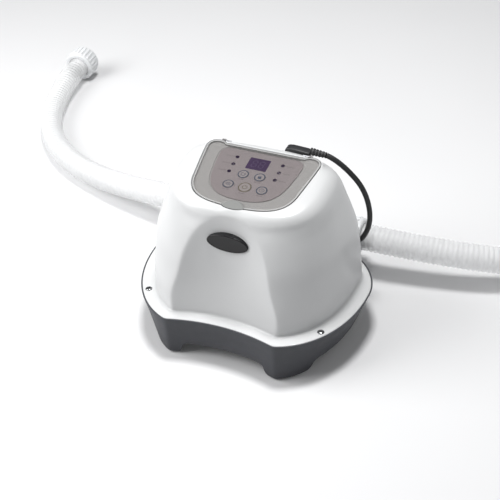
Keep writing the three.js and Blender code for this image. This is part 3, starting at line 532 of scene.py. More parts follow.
def rings_along(path, tangents, radii, sides):
    """Rings square to a path, with no twist."""
    side, angles = square_to(tangents[0]), circle(sides)
    rings = []
    for point, tangent, radius in zip(path, tangents, radii):
        side = side - tangent * (side @ tangent)
        side /= np.linalg.norm(side)
        other = np.cross(tangent, side)
        rings.append(point + radius * (np.cos(angles)[:, None] * side + np.sin(angles)[:, None] * other))
    return rings


def hose(label, points):
    """Ribbed hose: an outer skin with one round rib each pitch, and a smooth bore."""
    path, tangents, length = path_through(points, RIB_PITCH / STEPS_PER_RIB)
    along = np.linspace(0, length, len(path))
    wave = 0.5 + 0.5 * np.cos(TAU * (along - PLAIN_END) / RIB_PITCH)
    ribs = smooth_step(np.minimum(along, length - along), PLAIN_END - 3, PLAIN_END)
    radii = HOSE_RADIUS - RIB_DEPTH * (1 - wave ** 0.8) * ribs
    outer = rings_along(path, tangents, radii, HOSE_SIDES)
    sparse, sparse_tangents = path[::STEPS_PER_RIB], tangents[::STEPS_PER_RIB]
    inner = rings_along(sparse, sparse_tangents, np.full(len(sparse), HOSE_BORE), HOSE_SIDES)
    if len(path) % STEPS_PER_RIB != 1:
        inner += rings_along(path[-1:], tangents[-1:], [HOSE_BORE], HOSE_SIDES)
    mesh = loft(f"{label}_hose", outer + inner[::-1], wrap_rows=True)
    piece = add_object(f"{label}_ribbed_hose", mesh, HOSE_VINYL, "unit",
                       [f"{label}_hose"], 80)
    return piece, to_scene(path[::4]), length * MM


def cell_lead():
    """The plain round lead from the plug to the cell head."""
    path, tangents, length = path_through(LEAD, 2.5)
    mesh = loft("cell_lead", rings_along(path, tangents, np.full(len(path), LEAD_RADIUS), LEAD_SIDES))
    piece = add_object("cell_lead_sheath", mesh, LEAD_RUBBER, "unit", ["cell_lead"], 60)
    return piece, to_scene(path), length * MM


left_hose, left_path, left_length = hose("left", LEFT_HOSE)
right_hose, right_path, right_length = hose("right", RIGHT_HOSE)
lead, lead_path, lead_length = cell_lead()


# ------------------------------------------------------------------ plan of the unit
FLANGE_TOP, FLANGE_THICK = 71.6, 4.0
REAR_Y = 162.0
CORNER = (87.0, -87.0)
FRONT_HOLLOW = 13.0
COLUMNS = 520


def plan_outline():
    """Flange outline, anticlockwise from its front middle."""
    x, y = CORNER
    half = [
        bezier([(0, y + FRONT_HOLLOW), (x / 2, y + FRONT_HOLLOW), (x, y)], 80),
        bezier([(x, y), (142, -70), (180, -8), (179, 72)], 160),
        bezier([(179, 72), (179, 112), (140, REAR_Y), (90, REAR_Y)], 120),
        bezier([(90, REAR_Y), (0, REAR_Y)], 60),
    ]
    return softened(even(mirrored(np.vstack(half + [[(0, REAR_Y)]])), COLUMNS), 4)


OUTLINE = plan_outline()
NORMALS = normals_of(OUTLINE)
PLAN_MIDDLE = (0, 80)
ANGLES = np.arctan2(OUTLINE[:, 1] - PLAN_MIDDLE[1], OUTLINE[:, 0] - PLAN_MIDDLE[0])


def plan_ring(grow, z):
    """The flange outline grown, at height z."""
    flat = OUTLINE + NORMALS * grow
    return np.column_stack([flat, np.full(len(flat), z)])


# ------------------------------------------------------------------ panel outlines
def panel_half(rear, corner, shoulder, side, front):
    """An outline from its front middle round the right side to its rear middle, mirrored."""
    return mirrored(np.vstack([
        bezier([(0, front[0]), front[1], front[2], side], 90),
        bezier([side, shoulder[0], shoulder[1], corner[0]], 60),
        bezier([corner[0], corner[1], rear], 30),
        bezier([rear, (0, rear[1])], 40),
        [(0, rear[1])],
    ]))


LID_LINE = panel_half((74, 84), ((91, 68), (90.5, 84)), ((85.5, 25), (88.5, 45)), (82.5, 5),
                      (-45, (50, -45), (78.5, -36)))
LABEL_LINE = panel_half((52, 75), ((66, 61), (65.5, 75)), ((64.5, 40), (65.5, 50)), (62.5, 30),
                        (-27, (40, -27), (58, -12)))
PANEL_MIDDLE = np.array([0.0, 28.0])
PANEL_ANGLES = np.arctan2(OUTLINE[:, 1] - 62, OUTLINE[:, 0])
BAR_HALF, BAR_FRONT = 66.0, 79.6
TAB_V, TAB_HALF, TAB_REACH, TAB_ARC = -43.5, 17.5, 6.0, 12.0


def grown(line, grow):
    """A closed outline moved outwards."""
    dense = even(line, 900)
    return dense + normals_of(dense) * grow


def label_flat(grow):
    """The label's outline grown, in (u, v)."""
    return polar(grown(LABEL_LINE, grow), PANEL_MIDDLE, PANEL_ANGLES)


def label_ring(grow, w):
    return panel(*label_flat(grow).T, w)


def lid_flat(grow, tab=0.0):
    """The lid's outline grown, in (u, v): straight between the ears, with a finger tab grown by tab."""
    flat = polar(grown(LID_LINE, grow), PANEL_MIDDLE, PANEL_ANGLES)
    between = 1 - smooth_step(np.abs(flat[:, 0]), BAR_HALF - 4, BAR_HALF + 3.5)
    flat[:, 1] -= np.maximum(flat[:, 1] - BAR_FRONT - grow, 0) * between
    if tab:
        reach = TAB_REACH + tab
        half = TAB_HALF + tab
        inside = np.abs(flat[:, 0]) < half
        edge = TAB_V - reach * np.sqrt(np.maximum(0, 1 - (flat[:, 0] / half) ** 2))
        front = inside & (flat[:, 1] < 0)
        flat[front, 1] = np.minimum(flat[front, 1], edge[front])
    return flat


def lid_ring(grow, w, tab=0.0):
    return panel(*lid_flat(grow, tab).T, w)


# ------------------------------------------------------------------ cover
# The dome's levels: height, half width, front, rear and middle Y, and how square its front is
LEVELS = [
    (76, 157.3, -82.8, 145, 90, 2.55),
    (108, 155.9, -79.2, 145, 90, 2.55),
    (140, 153.8, -69.7, 145, 88, 2.55),
    (170, 149.9, -60.8, 145, 85, 2.55),
    (196, 141.4, -50.3, 144, 82, 2.55),
    (216, 132.9, -40.5, 143, 80, 2.6),
    (231, 127.3, -31.5, 139.5, 78, 2.7),
    (242, 120.2, -26, 134, 76, 2.9),
    (249, 109, -20.6, 124.5, 75, 3.1),
]
REAR_POWER = 3.0
CROWN_TOP = 252.8
COVER_WALL = 3.0
FOOT_FILLET = 4.0
ARCH_ROUND = 2.2
EDGE_ROUND = 1.3
QUARTER = (0, 0.4, 0.8, 1.2, math.pi / 2)
POCKET_GROW, POCKET_TAB = 0.9, 1.0
RECESS_FOOT, RECESS_BEND_TOP, RECESS_LIP = 77, 167, 205
RECESS_Y, RECESS_LEAN = -55, 0.205
RECESS_BEND = (0.0018, 0.0035)  # how strongly it curves sideways, at its foot and its top


def recess_y(x, z):
    """The concave front face."""
    bend = RECESS_BEND[0] + (RECESS_BEND[1] - RECESS_BEND[0]) * smooth_step(z, RECESS_FOOT, RECESS_BEND_TOP)
    lip = np.maximum(0, (z - RECESS_LIP) / 26)
    return RECESS_Y + RECESS_LEAN * (z - RECESS_FOOT) - bend * x * x - lip * lip


def cover_ring(level, wall=0.0, lower=0.0):
    """The dome at one level, drawn in by a wall and lowered; it tilts to the panel's slope on its way up."""
    height, half, front_y, rear_y, middle, front_power = LEVELS[level]
    rise = (height - LEVELS[0][0]) / (CROWN_TOP - LEVELS[0][0])
    tilt = math.tan(PANEL_SLOPE) * rise * rise
    cos, sin = np.cos(ANGLES), np.sin(ANGLES)
    front = sin < 0
    depth = np.where(front, middle - front_y - wall, rear_y - wall - middle)
    power = np.where(front, front_power, REAR_POWER)
    reach = (np.abs(cos / (half - wall)) ** power + np.abs(sin / depth) ** power) ** (-1 / power)
    x, y = reach * cos, middle + reach * sin
    z = height + tilt * (y - PANEL_Y) - lower * rise
    return np.column_stack([x, y, z])


def recessed(ring, back=0.0):
    """Pushes what stands in front of the concave face back onto it, with a rounded edge."""
    face = recess_y(ring[:, 0], ring[:, 2]) + back
    pushed = (ring[:, 1] + face + np.sqrt((ring[:, 1] - face) ** 2 + ARCH_ROUND ** 2)) / 2
    near = 1 - smooth_step(ring[:, 1] - face, 30, 60)
    result = ring.copy()
    result[:, 1] += (pushed - ring[:, 1]) * near
    return result


def cover_mesh():
    """The dome's outside from the flange's edge up into the panel's pocket, and back down inside."""
    levels = [cover_ring(k) for k in range(len(LEVELS))]
    u, v = lid_flat(2.2).T
    edge_height = 2.9 + 0.7 * (1 - smooth_step(np.abs(u), 58, 68)) * (v > 60)
    pocket_edge = lid_ring(2.2, edge_height, POCKET_TAB)
    ghost = lid_ring(-8, 3.3)
    spans = [20, 20, 20, 18, 16, 13, 10, 8, 12]
    wall = [recessed(r) for r in flowing(levels + [pocket_edge], spans, ghost)]
    wall[-1] = pocket_edge
    foot = wall[0].copy()
    foot_normals = normals_of(softened(foot[:, :2], 2))
    fillet = []
    for a in np.arange(7) / 7 * math.pi / 2:
        flat = foot[:, :2] + foot_normals * FOOT_FILLET * (1 - math.sin(a))
        height = FLANGE_TOP + FOOT_FILLET * (1 - math.cos(a))
        fillet.append(np.column_stack([flat, np.full(len(flat), height)]))
    edge = [plan_ring(-0.6, FLANGE_TOP - FLANGE_THICK), plan_ring(0, FLANGE_TOP - FLANGE_THICK + 0.6)]
    edge += [plan_ring(-EDGE_ROUND * (1 - math.cos(a)), FLANGE_TOP - EDGE_ROUND * (1 - math.sin(a)))
             for a in QUARTER]
    flange = [edge[-1] + (fillet[0] - edge[-1]) * t for t in np.linspace(0, 1, 12)[1:-1]]
    lip = [lid_ring(POCKET_GROW + EDGE_ROUND * (1 - math.sin(a)),
                    edge_height - EDGE_ROUND * (1 - math.cos(a)), POCKET_TAB) for a in QUARTER[1:]]
    pocket = [lid_ring(POCKET_GROW, w, POCKET_TAB) for w in (-0.2, -1.8)]
    pocket += [label_ring(3.3, w) for w in (-3.6, -7)]
    inner = [recessed(cover_ring(k, COVER_WALL, 8.5), COVER_WALL + 0.6) for k in range(7, -1, -1)]
    skirt = inner[-1].copy()
    skirt[:, 2] = FLANGE_TOP - FLANGE_THICK
    rows = edge + flange + fillet + wall + lip + pocket + inner + [skirt]
    return loft("cover", rows, wrap_rows=True)


HINGE_V, HINGE_W, EAR_RADIUS = 86.2, 1.4, 2.9
EAR_LOW, EAR_HIGH = 66.8, 72.8
CORNERS = ("front_left", "front_right", "rear_left", "rear_right")
SCREWS = ["screw_" + corner for corner in CORNERS]
SCREW_SEAT, SCREW_DEPTH, SCREW_HOLE = 5.4, 1.4, 2.4


def rod(start, end, radius, sides=32):
    """A closed round bar between two points, unit frame."""
    path = np.array([start, end], float)
    along = (path[1] - path[0]) / np.linalg.norm(path[1] - path[0])
    return loft("rod", rings_along(path, [along, along], [radius, radius], sides))


def cover_cutters():
    """Room for the lid's ears, and the screws' seats and holes."""
    parts = []
    for side in (-1, 1):
        low, high = side * (BAR_HALF + 0.2), side * (EAR_HIGH + 1)
        parts.append(rod(panel(low, HINGE_V, HINGE_W), panel(high, HINGE_V, HINGE_W), EAR_RADIUS + 0.8))
    seat = FLANGE_TOP - SCREW_DEPTH
    for name in SCREWS:
        x, y, _ = node_middle(name)
        parts.append(rod((x, y, seat), (x, y, FLANGE_TOP + 6), SCREW_SEAT, 48))
        parts.append(rod((x, y, FLANGE_TOP - 9), (x, y, seat - 0.05), SCREW_HOLE, 24))
    return joined("cutters", parts)


add_object("cover_shell", cut(cover_mesh(), cover_cutters()), WHITE, "unit",
           ["top_cover"], 38)


# ------------------------------------------------------------------ tray
RIM_WIDTH, TRAY_WALL = 2.6, 4.0
SIDE_TAPER, FRONT_TAPER, REAR_TAPER = 0.28, 4.4, 12.0
UNDERSIDE, FLOOR_TOP = 21.5, 25.5
FOOT_BOTTOM = 1.8
FOOT_GAP_HALF, SIDE_FRONT, SIDE_REAR = 69.0, -48.0, 96.0
ARCH_FILLET = 12.0


def tray_ring(z, grow):
    """The outline drawn in towards the floor, but not at the front corners. z may vary round it."""
    flat = OUTLINE + NORMALS * np.broadcast_to(grow, COLUMNS)[:, None]
    z = np.broadcast_to(np.asarray(z, float), COLUMNS)
    down = 1 - z / FLANGE_TOP
    beyond = np.maximum(0, np.abs(flat[:, 0]) - CORNER[0])
    x = np.sign(flat[:, 0]) * (np.abs(flat[:, 0]) - beyond * SIDE_TAPER * down)
    to_front = np.clip((40 - flat[:, 1]) / 100, 0, 1)
    to_rear = np.clip((flat[:, 1] - 100) / 62, 0, 1)
    y = flat[:, 1] + down * (FRONT_TAPER * to_front - REAR_TAPER * to_rear)
    return np.column_stack([x, y, z])


def arch_height():
    """How high the tray's lower edge is round the outline: feet at the corners, arches between."""
    x, y = np.abs(OUTLINE[:, 0]), OUTLINE[:, 1]
    across = FOOT_GAP_HALF - x
    along = np.minimum(y - SIDE_FRONT, SIDE_REAR - y)
    to_jamb = np.where((y < -60) | (y > 140), across, np.where(x > 100, along, -1))
    knots = [(-7, FOOT_BOTTOM), (-4, FOOT_BOTTOM + 0.7), (-1.8, 4.4), (-0.3, 7.0), (0.9, 10.5)]
    for a in np.linspace(0, math.pi / 2, 7)[1:]:
        knots.append((0.9 + ARCH_FILLET * (1 - math.cos(a)), 10.5 + (UNDERSIDE - 11) * math.sin(a)))
    q, z = zip(*knots)
    return np.interp(to_jamb, q, z)


def tray_skirt():
    """The tray from its underside, down and round the lower edge, up to the rim and back inside."""
    low, edge = arch_height(), 2.2
    top = FLANGE_TOP - 0.4
    outer_grow = RIM_WIDTH - 0.6
    rows = [tray_ring(UNDERSIDE, -TRAY_WALL - 0.4),
            tray_ring(np.minimum(low + edge + 2, UNDERSIDE - 0.2), -TRAY_WALL - 0.2)]
    for a in np.linspace(0, math.pi, 7):
        grow = (outer_grow - TRAY_WALL) / 2 - (outer_grow + TRAY_WALL) / 2 * math.cos(a)
        rows.append(tray_ring(low + edge * (1 - math.sin(a)), grow))
    for t in np.linspace(0, 1, 26)[1:]:
        z = low + edge + (top - 0.9 - low - edge) * t
        rows.append(tray_ring(z, outer_grow + 0.6 * smooth_step(z, 48, top)))
    turns = (0.5, 1.0, math.pi / 2)
    rows += [tray_ring(top - 0.9 * (1 - math.sin(a)), RIM_WIDTH - 0.7 * (1 - math.cos(a))) for a in turns]
    rows += [tray_ring(top - 0.5 * (1 - math.cos(a)), 0.8 - 0.5 * math.sin(a)) for a in turns]
    ledge = FLANGE_TOP - FLANGE_THICK - 0.3
    rows += [tray_ring(ledge, 0.3), tray_ring(ledge, -TRAY_WALL), tray_ring(FLOOR_TOP, -TRAY_WALL)]
    return loft("skirt", rows)


def foot_block(x_side, front):
    """The solid inside one corner foot, between the two arches."""
    ring = tray_ring(9.0, -TRAY_WALL - 0.3)[:, :2]
    inner_x, inner_y = FOOT_GAP_HALF + 1.5, SIDE_FRONT - 1 if front else SIDE_REAR + 1
    beyond = ring[:, 1] < inner_y if front else ring[:, 1] > inner_y
    where = np.flatnonzero((ring[:, 0] * x_side > inner_x) & beyond)
    breaks = np.flatnonzero(np.diff(where) > 1)
    if len(breaks):
        where = np.r_[where[breaks[0] + 1:], where[:breaks[0] + 1]]
    corner = [tuple(p) for p in ring[where][::3]] + [(x_side * inner_x, inner_y)]
    low = [(*p, FOOT_BOTTOM + 0.4) for p in corner]
    high = [(*p, UNDERSIDE + 0.5) for p in corner]
    return bevelled(loft("foot", [low, high]), 1.5, 2, 50)


BRACKETS = (-62, 12)
PIPE_Y, PIPE_Z, PIPE_RADIUS = 212.0, 64.0, 27.0
PIPE_MIDDLE = (0, PIPE_Y, PIPE_Z)


def pipe_room(low_x, high_x):
    """What the pipe takes up between two X, with a little clearance."""
    return rod((low_x, PIPE_Y, PIPE_Z), (high_x, PIPE_Y, PIPE_Z), PIPE_RADIUS + 0.3, 64)


def pipe_arm(x):
    """The two pieces of one arm: its root on the tray, and the shelf that the pipe lies in."""
    arm = block((x - 11, 154, 30), (x + 11, 167.6, 66), 2.0)
    shelf = block((x - 7, 160, 45.5), (x + 7, 190, 51.6), 1.2)
    return [arm, cut(shelf, pipe_room(x - 12, x + 12))]


tray_parts = [tray_skirt()]
tray_parts += [foot_block(side, front) for side in (-1, 1) for front in (True, False)]
for x in BRACKETS:
    tray_parts += pipe_arm(x)
gland_middle = node_middle("mains_gland")
tray_parts.append(block((gland_middle[0] - 11, 154, gland_middle[2] - 11),
                        (gland_middle[0] + 11, 163.3, gland_middle[2] + 11), 2.0))
add_object("tray_shell", joined("tray", tray_parts), CHARCOAL, "unit",
           ["base_tray"], 38)


# ------------------------------------------------------------------ control panel
def panel_rings(u, v, profile, sides):
    angles = circle(sides)
    return [panel(u + r * np.cos(angles), v + r * np.sin(angles), w) for r, w in profile]


def panel_disc(u, v, profile, sides=64):
    """A closed round piece on the panel: profile is [(radius, w)] from its underside up."""
    return loft("disc", panel_rings(u, v, profile, sides))


def panel_band(u, v, inner, outer, low, high, sides=72):
    """A flat ring on the panel."""
    profile = [(inner, low), (outer, low), (outer, high), (inner, high)]
    return loft("band", panel_rings(u, v, profile, sides), wrap_rows=True)


def panel_stroke(points, width, low, high):
    """A flat printed line along (u, v) points, with square ends."""
    points = np.asarray(points, float)
    along = np.gradient(points, axis=0)
    along /= np.linalg.norm(along, axis=1)[:, None]
    side = np.column_stack([-along[:, 1], along[:, 0]]) * width / 2
    rings = [[panel(*(p + s), low), panel(*(p - s), low), panel(*(p - s), high), panel(*(p + s), high)]
             for p, s in zip(points, side)]
    return loft("stroke", rings)


def arc_points(u, v, radius, start, end, count=16):
    """Points of an arc in (u, v), between two angles in degrees."""
    angles = np.radians(np.linspace(start, end, count))
    return np.column_stack([u + radius * np.cos(angles), v + radius * np.sin(angles)])


def panel_patch(low_uv, high_uv, low, high, round_by):
    """A flat plate on the panel with rounded corners."""
    (u0, v0), (u1, v1) = low_uv, high_uv
    corners = [(u1 - round_by, v0 + round_by, -90), (u1 - round_by, v1 - round_by, 0),
               (u0 + round_by, v1 - round_by, 90), (u0 + round_by, v0 + round_by, 180)]
    outline = np.vstack([arc_points(u, v, round_by, start, start + 90, CORNER_STEPS + 1)
                         for u, v, start in corners])
    return loft("patch", [panel(*outline.T, w) for w in (low, high)])


def dish_ring(share, w):
    """A ring part of the way from the lid's edge to the label's."""
    far, near = lid_flat(-3.0), label_flat(2.6)
    return panel(*(far + (near - far) * share).T, w)


# Each button's middle in (u, v) and its radius
BUTTONS = {
    "button_mode": (-13.2, 25.4, 8.5), "button_lock": (13.2, 25.4, 8.5), "button_clean": (-26.4, 0.3, 8.5),
    "button_power": (0.0, 0.0, 10.0), "button_timer": (26.4, 0.3, 8.5),
}
WELL_GAP = 0.25


def button_wells():
    """Round holes through the label and the frame, in which the buttons travel."""
    return joined("wells", [panel_disc(u, v, [(radius + WELL_GAP, -6), (radius + WELL_GAP, 2)])
                            for u, v, radius in BUTTONS.values()])


bezel_edge = [(-0.6, -1.5), (-0.6, 0.5), (-0.9, 0.82), (-1.3, 0.9), (-2.0, 0.88), (-2.5, 0.6)]
bezel_step = [(2.1, -0.12), (1.7, -0.45), (1.4, -1.0), (0.9, -1.2)]
bezel_rows = [label_ring(3, -3.2)] + [lid_ring(grow, w) for grow, w in bezel_edge]
bezel_rows += [dish_ring(t, 0.45 - 0.5 * t * t) for t in np.linspace(0, 1, 9)]
bezel_rows += [label_ring(grow, w) for grow, w in bezel_step]
add_object("bezel_dish", cut(loft("bezel", bezel_rows), button_wells()), BEZEL, "unit",
           ["panel_bezel"], 50)

label_edge = [(-0.05, -0.95), (0, -0.3), (-0.12, -0.08), (-0.4, 0), (-1.4, 0)]
label_mesh = loft("label", [label_ring(grow, w) for grow, w in label_edge])
add_object("label_plate", cut(label_mesh, button_wells()), LABEL, "unit", ["panel_label"], 50)

DISPLAY_V, DISPLAY_WIDE, DISPLAY_HIGH = 51.0, 32.7, 24.6
half_wide, half_high = DISPLAY_WIDE / 2, DISPLAY_HIGH / 2
window = panel_patch((-half_wide, DISPLAY_V - half_high), (half_wide, DISPLAY_V + half_high),
                     -0.4, 0.12, 1.2)
add_object("display_pane", bevelled(window, 0.1, 2, 50), DISPLAY, "unit",
           ["display_window"], 50)

# Seven-segment figures: (middle u, middle v, across?) of each bar in a unit figure
SEGMENTS = [(0, 1, True), (0, 0, True), (0, -1, True), (-1, 0.5, False), (1, 0.5, False),
            (-1, -0.5, False), (1, -0.5, False)]
FIGURE_U, FIGURE_HALF_WIDE, FIGURE_HALF_HIGH = 5.6, 3.4, 6.6
BAR_WIDTH, BAR_GAP, BAR_LEAN = 1.5, 0.7, 0.08


def figure(u, v):
    """The seven bars of a figure, which leans a little."""
    bars = []
    for right, up, across in SEGMENTS:
        bar_v = v + up * FIGURE_HALF_HIGH
        bar_u = u + right * FIGURE_HALF_WIDE + up * FIGURE_HALF_HIGH * BAR_LEAN
        if across:
            reach_u, reach_v = FIGURE_HALF_WIDE - BAR_GAP, 0
        else:
            reach_v = FIGURE_HALF_HIGH / 2 - BAR_GAP
            reach_u = reach_v * BAR_LEAN
        ends = [(bar_u - reach_u, bar_v - reach_v), (bar_u + reach_u, bar_v + reach_v)]
        bars.append(panel_stroke(ends, BAR_WIDTH, 0.12, 0.18))
    return bars


digits = figure(-FIGURE_U, DISPLAY_V) + figure(FIGURE_U, DISPLAY_V)
add_object("display_figures", joined("figures", digits), DIGIT, "unit")

BUTTON_TOP, BUTTON_BOTTOM, INK, RING_WIDTH = 0.5, -4.2, 0.06, 1.4


def icon(name, u, v):
    """A plain sign for each button, as printed strokes."""
    low, high = BUTTON_TOP - 0.02, BUTTON_TOP + INK

    def line(points, width=0.8):
        return panel_stroke(np.asarray(points) + (u, v), width, low, high)

    if name == "button_power":
        return [line(arc_points(0, 0, 3.4, 120, 420, 30), 1.0), line([(0, 1.2), (0, 4.6)], 1.0)]
    if name == "button_lock":
        return [panel_patch((u - 2.7, v - 3.0), (u + 2.7, v + 0.6), low, high, 0.6),
                line(arc_points(0, 0.6, 1.9, 0, 180))]
    if name == "button_mode":
        return [line(arc_points(0, 0, 3.2, 100, 380, 24)), line([(3.2, 3.1), (3.2, 0.6), (1.0, 1.4)], 0.7)]
    if name == "button_clean":
        wave = np.linspace(-3.8, 3.8, 24)
        return [line(np.column_stack([wave, np.sin(wave * 1.65) + shift]), 0.7) for shift in (1.5, -1.5)]
    return [line(arc_points(0, 0, 3.6, 0, 360, 40), 0.7), line([(0, 2.4), (0, 0), (1.7, -0.9)], 0.7)]


for name, (u, v, radius) in BUTTONS.items():
    cap = [(radius - 0.3, BUTTON_BOTTOM), (radius - 0.05, -0.4), (radius - 0.06, 0.3),
           (radius - 0.14, 0.43), (radius - 0.3, BUTTON_TOP), (radius * 0.5, BUTTON_TOP + 0.01)]
    add_object(name + "_cap", panel_disc(u, v, cap), BUTTON_FILM, name, [name], 40)
    ring = panel_band(u, v, radius - 0.3 - RING_WIDTH, radius - 0.3, BUTTON_TOP - 0.02, BUTTON_TOP + INK)
    ink = INK_OLIVE if name == "button_power" else INK_BLUE
    add_object(name + "_sign", joined("sign", [ring] + icon(name, u, v)), ink, name)

INDICATOR_U, INDICATOR_ROWS, INDICATOR_RADIUS = 36.4, (58.3, 42.4, 26.3), 2.3
DOME = [(INDICATOR_RADIUS - 0.1, -3.5), (INDICATOR_RADIUS, 0.05)]
DOME += [(INDICATOR_RADIUS * math.cos(a), 0.05 + 0.75 * math.sin(a)) for a in np.radians((20, 40, 60, 78))]
surrounds = []
for side, label in ((-1, "left"), (1, "right")):
    for row, v in enumerate(INDICATOR_ROWS, 1):
        name = f"indicator_{label}_{row}"
        surrounds.append(panel_band(side * INDICATOR_U, v, INDICATOR_RADIUS - 0.1, INDICATOR_RADIUS + 0.8,
                                    -0.02, 0.03, sides=40))
        add_object(name + "_dome", panel_disc(side * INDICATOR_U, v, DOME, 32), INDICATOR, "unit",
                   [name], 50)

add_object("indicator_surrounds", joined("surrounds", surrounds), INDICATOR, "unit")


def dash(start, end, v):
    """A dash of a worn caption."""
    return panel_stroke([(start, v), (end, v)], 0.9, -0.01, 0.03)


# Captions: a row of three dashes beside each lamp, and two under each button
captions = []
for side in (-1, 1):
    for v in INDICATOR_ROWS:
        start = side * 41.5
        for length in (4.2, 2.6, 3.4):
            end = start + side * length
            captions.append(dash(start, end, v))
            start = end + side * 0.9
for u, v in ((-13.2, 14.2), (13.2, 14.2), (-26.4, -10.6), (0, -12.6), (26.4, -10.6)):
    captions += [dash(u - 4.6, u - 0.6, v), dash(u + 0.4, u + 4.6, v)]
add_object("label_captions", joined("captions", captions), INK_FAINT, "unit")


# ------------------------------------------------------------------ lid
LID_TOP, LID_UNDER, LID_TAB = 3.0, 1.2, 0.01


def lid_mesh():
    """The lid from its underside round the edge to its top, where a raised rim runs round the pane."""
    edge = [(-1.4, LID_UNDER), (-0.4, LID_UNDER)]
    edge += [(-0.4 + 0.4 * math.sin(a), LID_UNDER + 0.4 - 0.4 * math.cos(a)) for a in (0.8, math.pi / 2)]
    edge += [(-0.7 * (1 - math.cos(a)), LID_TOP - 0.7 + 0.7 * math.sin(a)) for a in QUARTER]
    edge += [(-2.3, LID_TOP), (-2.8, LID_TOP - 0.15), (-3.1, LID_TOP - 0.6), (-3.6, LID_TOP - 0.65),
             (-4.6, LID_TOP - 0.65)]
    return loft("lid", [lid_ring(grow, w, LID_TAB) for grow, w in edge])


lid_pane = add_object("lid_pane", lid_mesh(), [LID_CLEAR, LID_EDGE_SHADE, LID_RIM], "lid",
                      ["lid"], 30)
panel_up = Vector((0, -PANEL_SIN, PANEL_COS))
rim_level = panel_up.dot(Vector(to_scene(panel(0, 0, LID_TOP - 0.1))))
# Side faces take the darker smoked tint as painted shade along the lid's edges; the raised rim takes the grey
# rim
for polygon in lid_pane.data.polygons:
    if abs(polygon.normal.dot(panel_up)) < 0.75:
        polygon.material_index = 1
    elif panel_up.dot(polygon.center) > rim_level:
        polygon.material_index = 2
EAR_WIDE = EAR_HIGH - EAR_LOW
ear = rounded([(0, 1.5), (0, EAR_RADIUS), (EAR_WIDE, EAR_RADIUS), (EAR_WIDE, 1.5)], 0.6)
ears = []
for side in (-1, 1):
    ears.append(turned(ear, 40, panel(side * EAR_LOW, HINGE_V, HINGE_W), (side, 0, 0)))
add_object("lid_ears", joined("ears", ears), LID_CLEAR, "lid")


def finger_tab():
    """A lens-shaped frosted grip across the lid's front edge."""
    t = np.linspace(-1, 1, 40)
    u = TAB_HALF * t
    middle = TAB_V + (TAB_ARC - TAB_REACH) / 2
    upper = TAB_V + TAB_ARC * (1 - t * t)
    lower = TAB_V - (TAB_REACH - 0.1) * np.sqrt(np.maximum(0, 1 - t * t))
    rings = []
    for shrink, proud in ((1.2, -0.25), (0.15, -0.1), (0, 0.1), (0.5, 0.32), (1.6, 0.38)):
        scale = 1 - shrink / TAB_HALF
        us = np.r_[u, u[-2:0:-1]] * scale
        vs = np.r_[lower + shrink * 0.9, (upper - shrink * 0.9)[-2:0:-1]]
        vs = np.where(np.abs(us) > TAB_HALF - 1.5, TAB_V + (vs - TAB_V) * 0.9, vs)
        rings.append(panel(us, np.clip(vs, middle - 12, middle + 12), LID_TOP + proud))
    return loft("tab", rings)


add_object("lid_finger_tab", finger_tab(), TAB_FROST, "lid", (), 50)


# ------------------------------------------------------------------ badge
BADGE_FACE, BADGE_Z, BADGE_HALF_WIDE, BADGE_HALF_HIGH = -36.4, 197.2, 32.4, 14.2


def badge_ring(grow, y=None, proud=0.0):
    """The badge's oval grown, at Y y, or without it that far proud of the cover's concave face."""
    angles = circle(120)
    x = (BADGE_HALF_WIDE + grow) * np.cos(angles)
    z = BADGE_Z + (BADGE_HALF_HIGH + grow) * np.sin(angles)
    y = recess_y(x, z) - proud if y is None else np.full(len(x), y)
    return np.column_stack([x, y, z])


badge_rows = [badge_ring(0, proud=-0.6), badge_ring(0, proud=0.1)]
badge_rows += [badge_ring(-1.1 * (1 - math.cos(a)), BADGE_FACE + 1.1 * (1 - math.sin(a)))
               for a in (0, 0.35, 0.7, 1.05, 1.4, math.pi / 2)]
badge_rows += [badge_ring(grow, BADGE_FACE + sunk) for grow, sunk in ((-2.2, 0), (-2.6, 0.18), (-2.9, 0.2))]
badge = add_object("badge_plate", loft("badge", badge_rows), [BADGE_GLOSS, BADGE_PRINT], "unit",
                   ["badge"], 50)
for polygon in badge.data.polygons:
    if polygon.normal.y < -0.97:
        polygon.material_index = 1


# ------------------------------------------------------------------ screws
SCREW_RADIUS, SCREW_HIGH, SCREW_RIM, SCREW_LONG = 4.7, 2.4, 0.5, 18


def slot_wedge(x, y, top, turn):
    """One tapering arm of a cross slot, to be cut out of a screw's head."""
    along, across = np.array([math.cos(turn), math.sin(turn)]), np.array([-math.sin(turn), math.cos(turn)])
    rings = []
    for z, reach, wide in ((top - 1.5, 1.2, 0.35), (top - 0.5, 2.3, 0.5), (top + 1, 2.9, 0.6)):
        rings.append([(*(np.array([x, y]) + along * i * reach + across * j * wide), z)
                      for i, j in ((-1, -1), (1, -1), (1, 1), (-1, 1))])
    return loft("slot", rings)


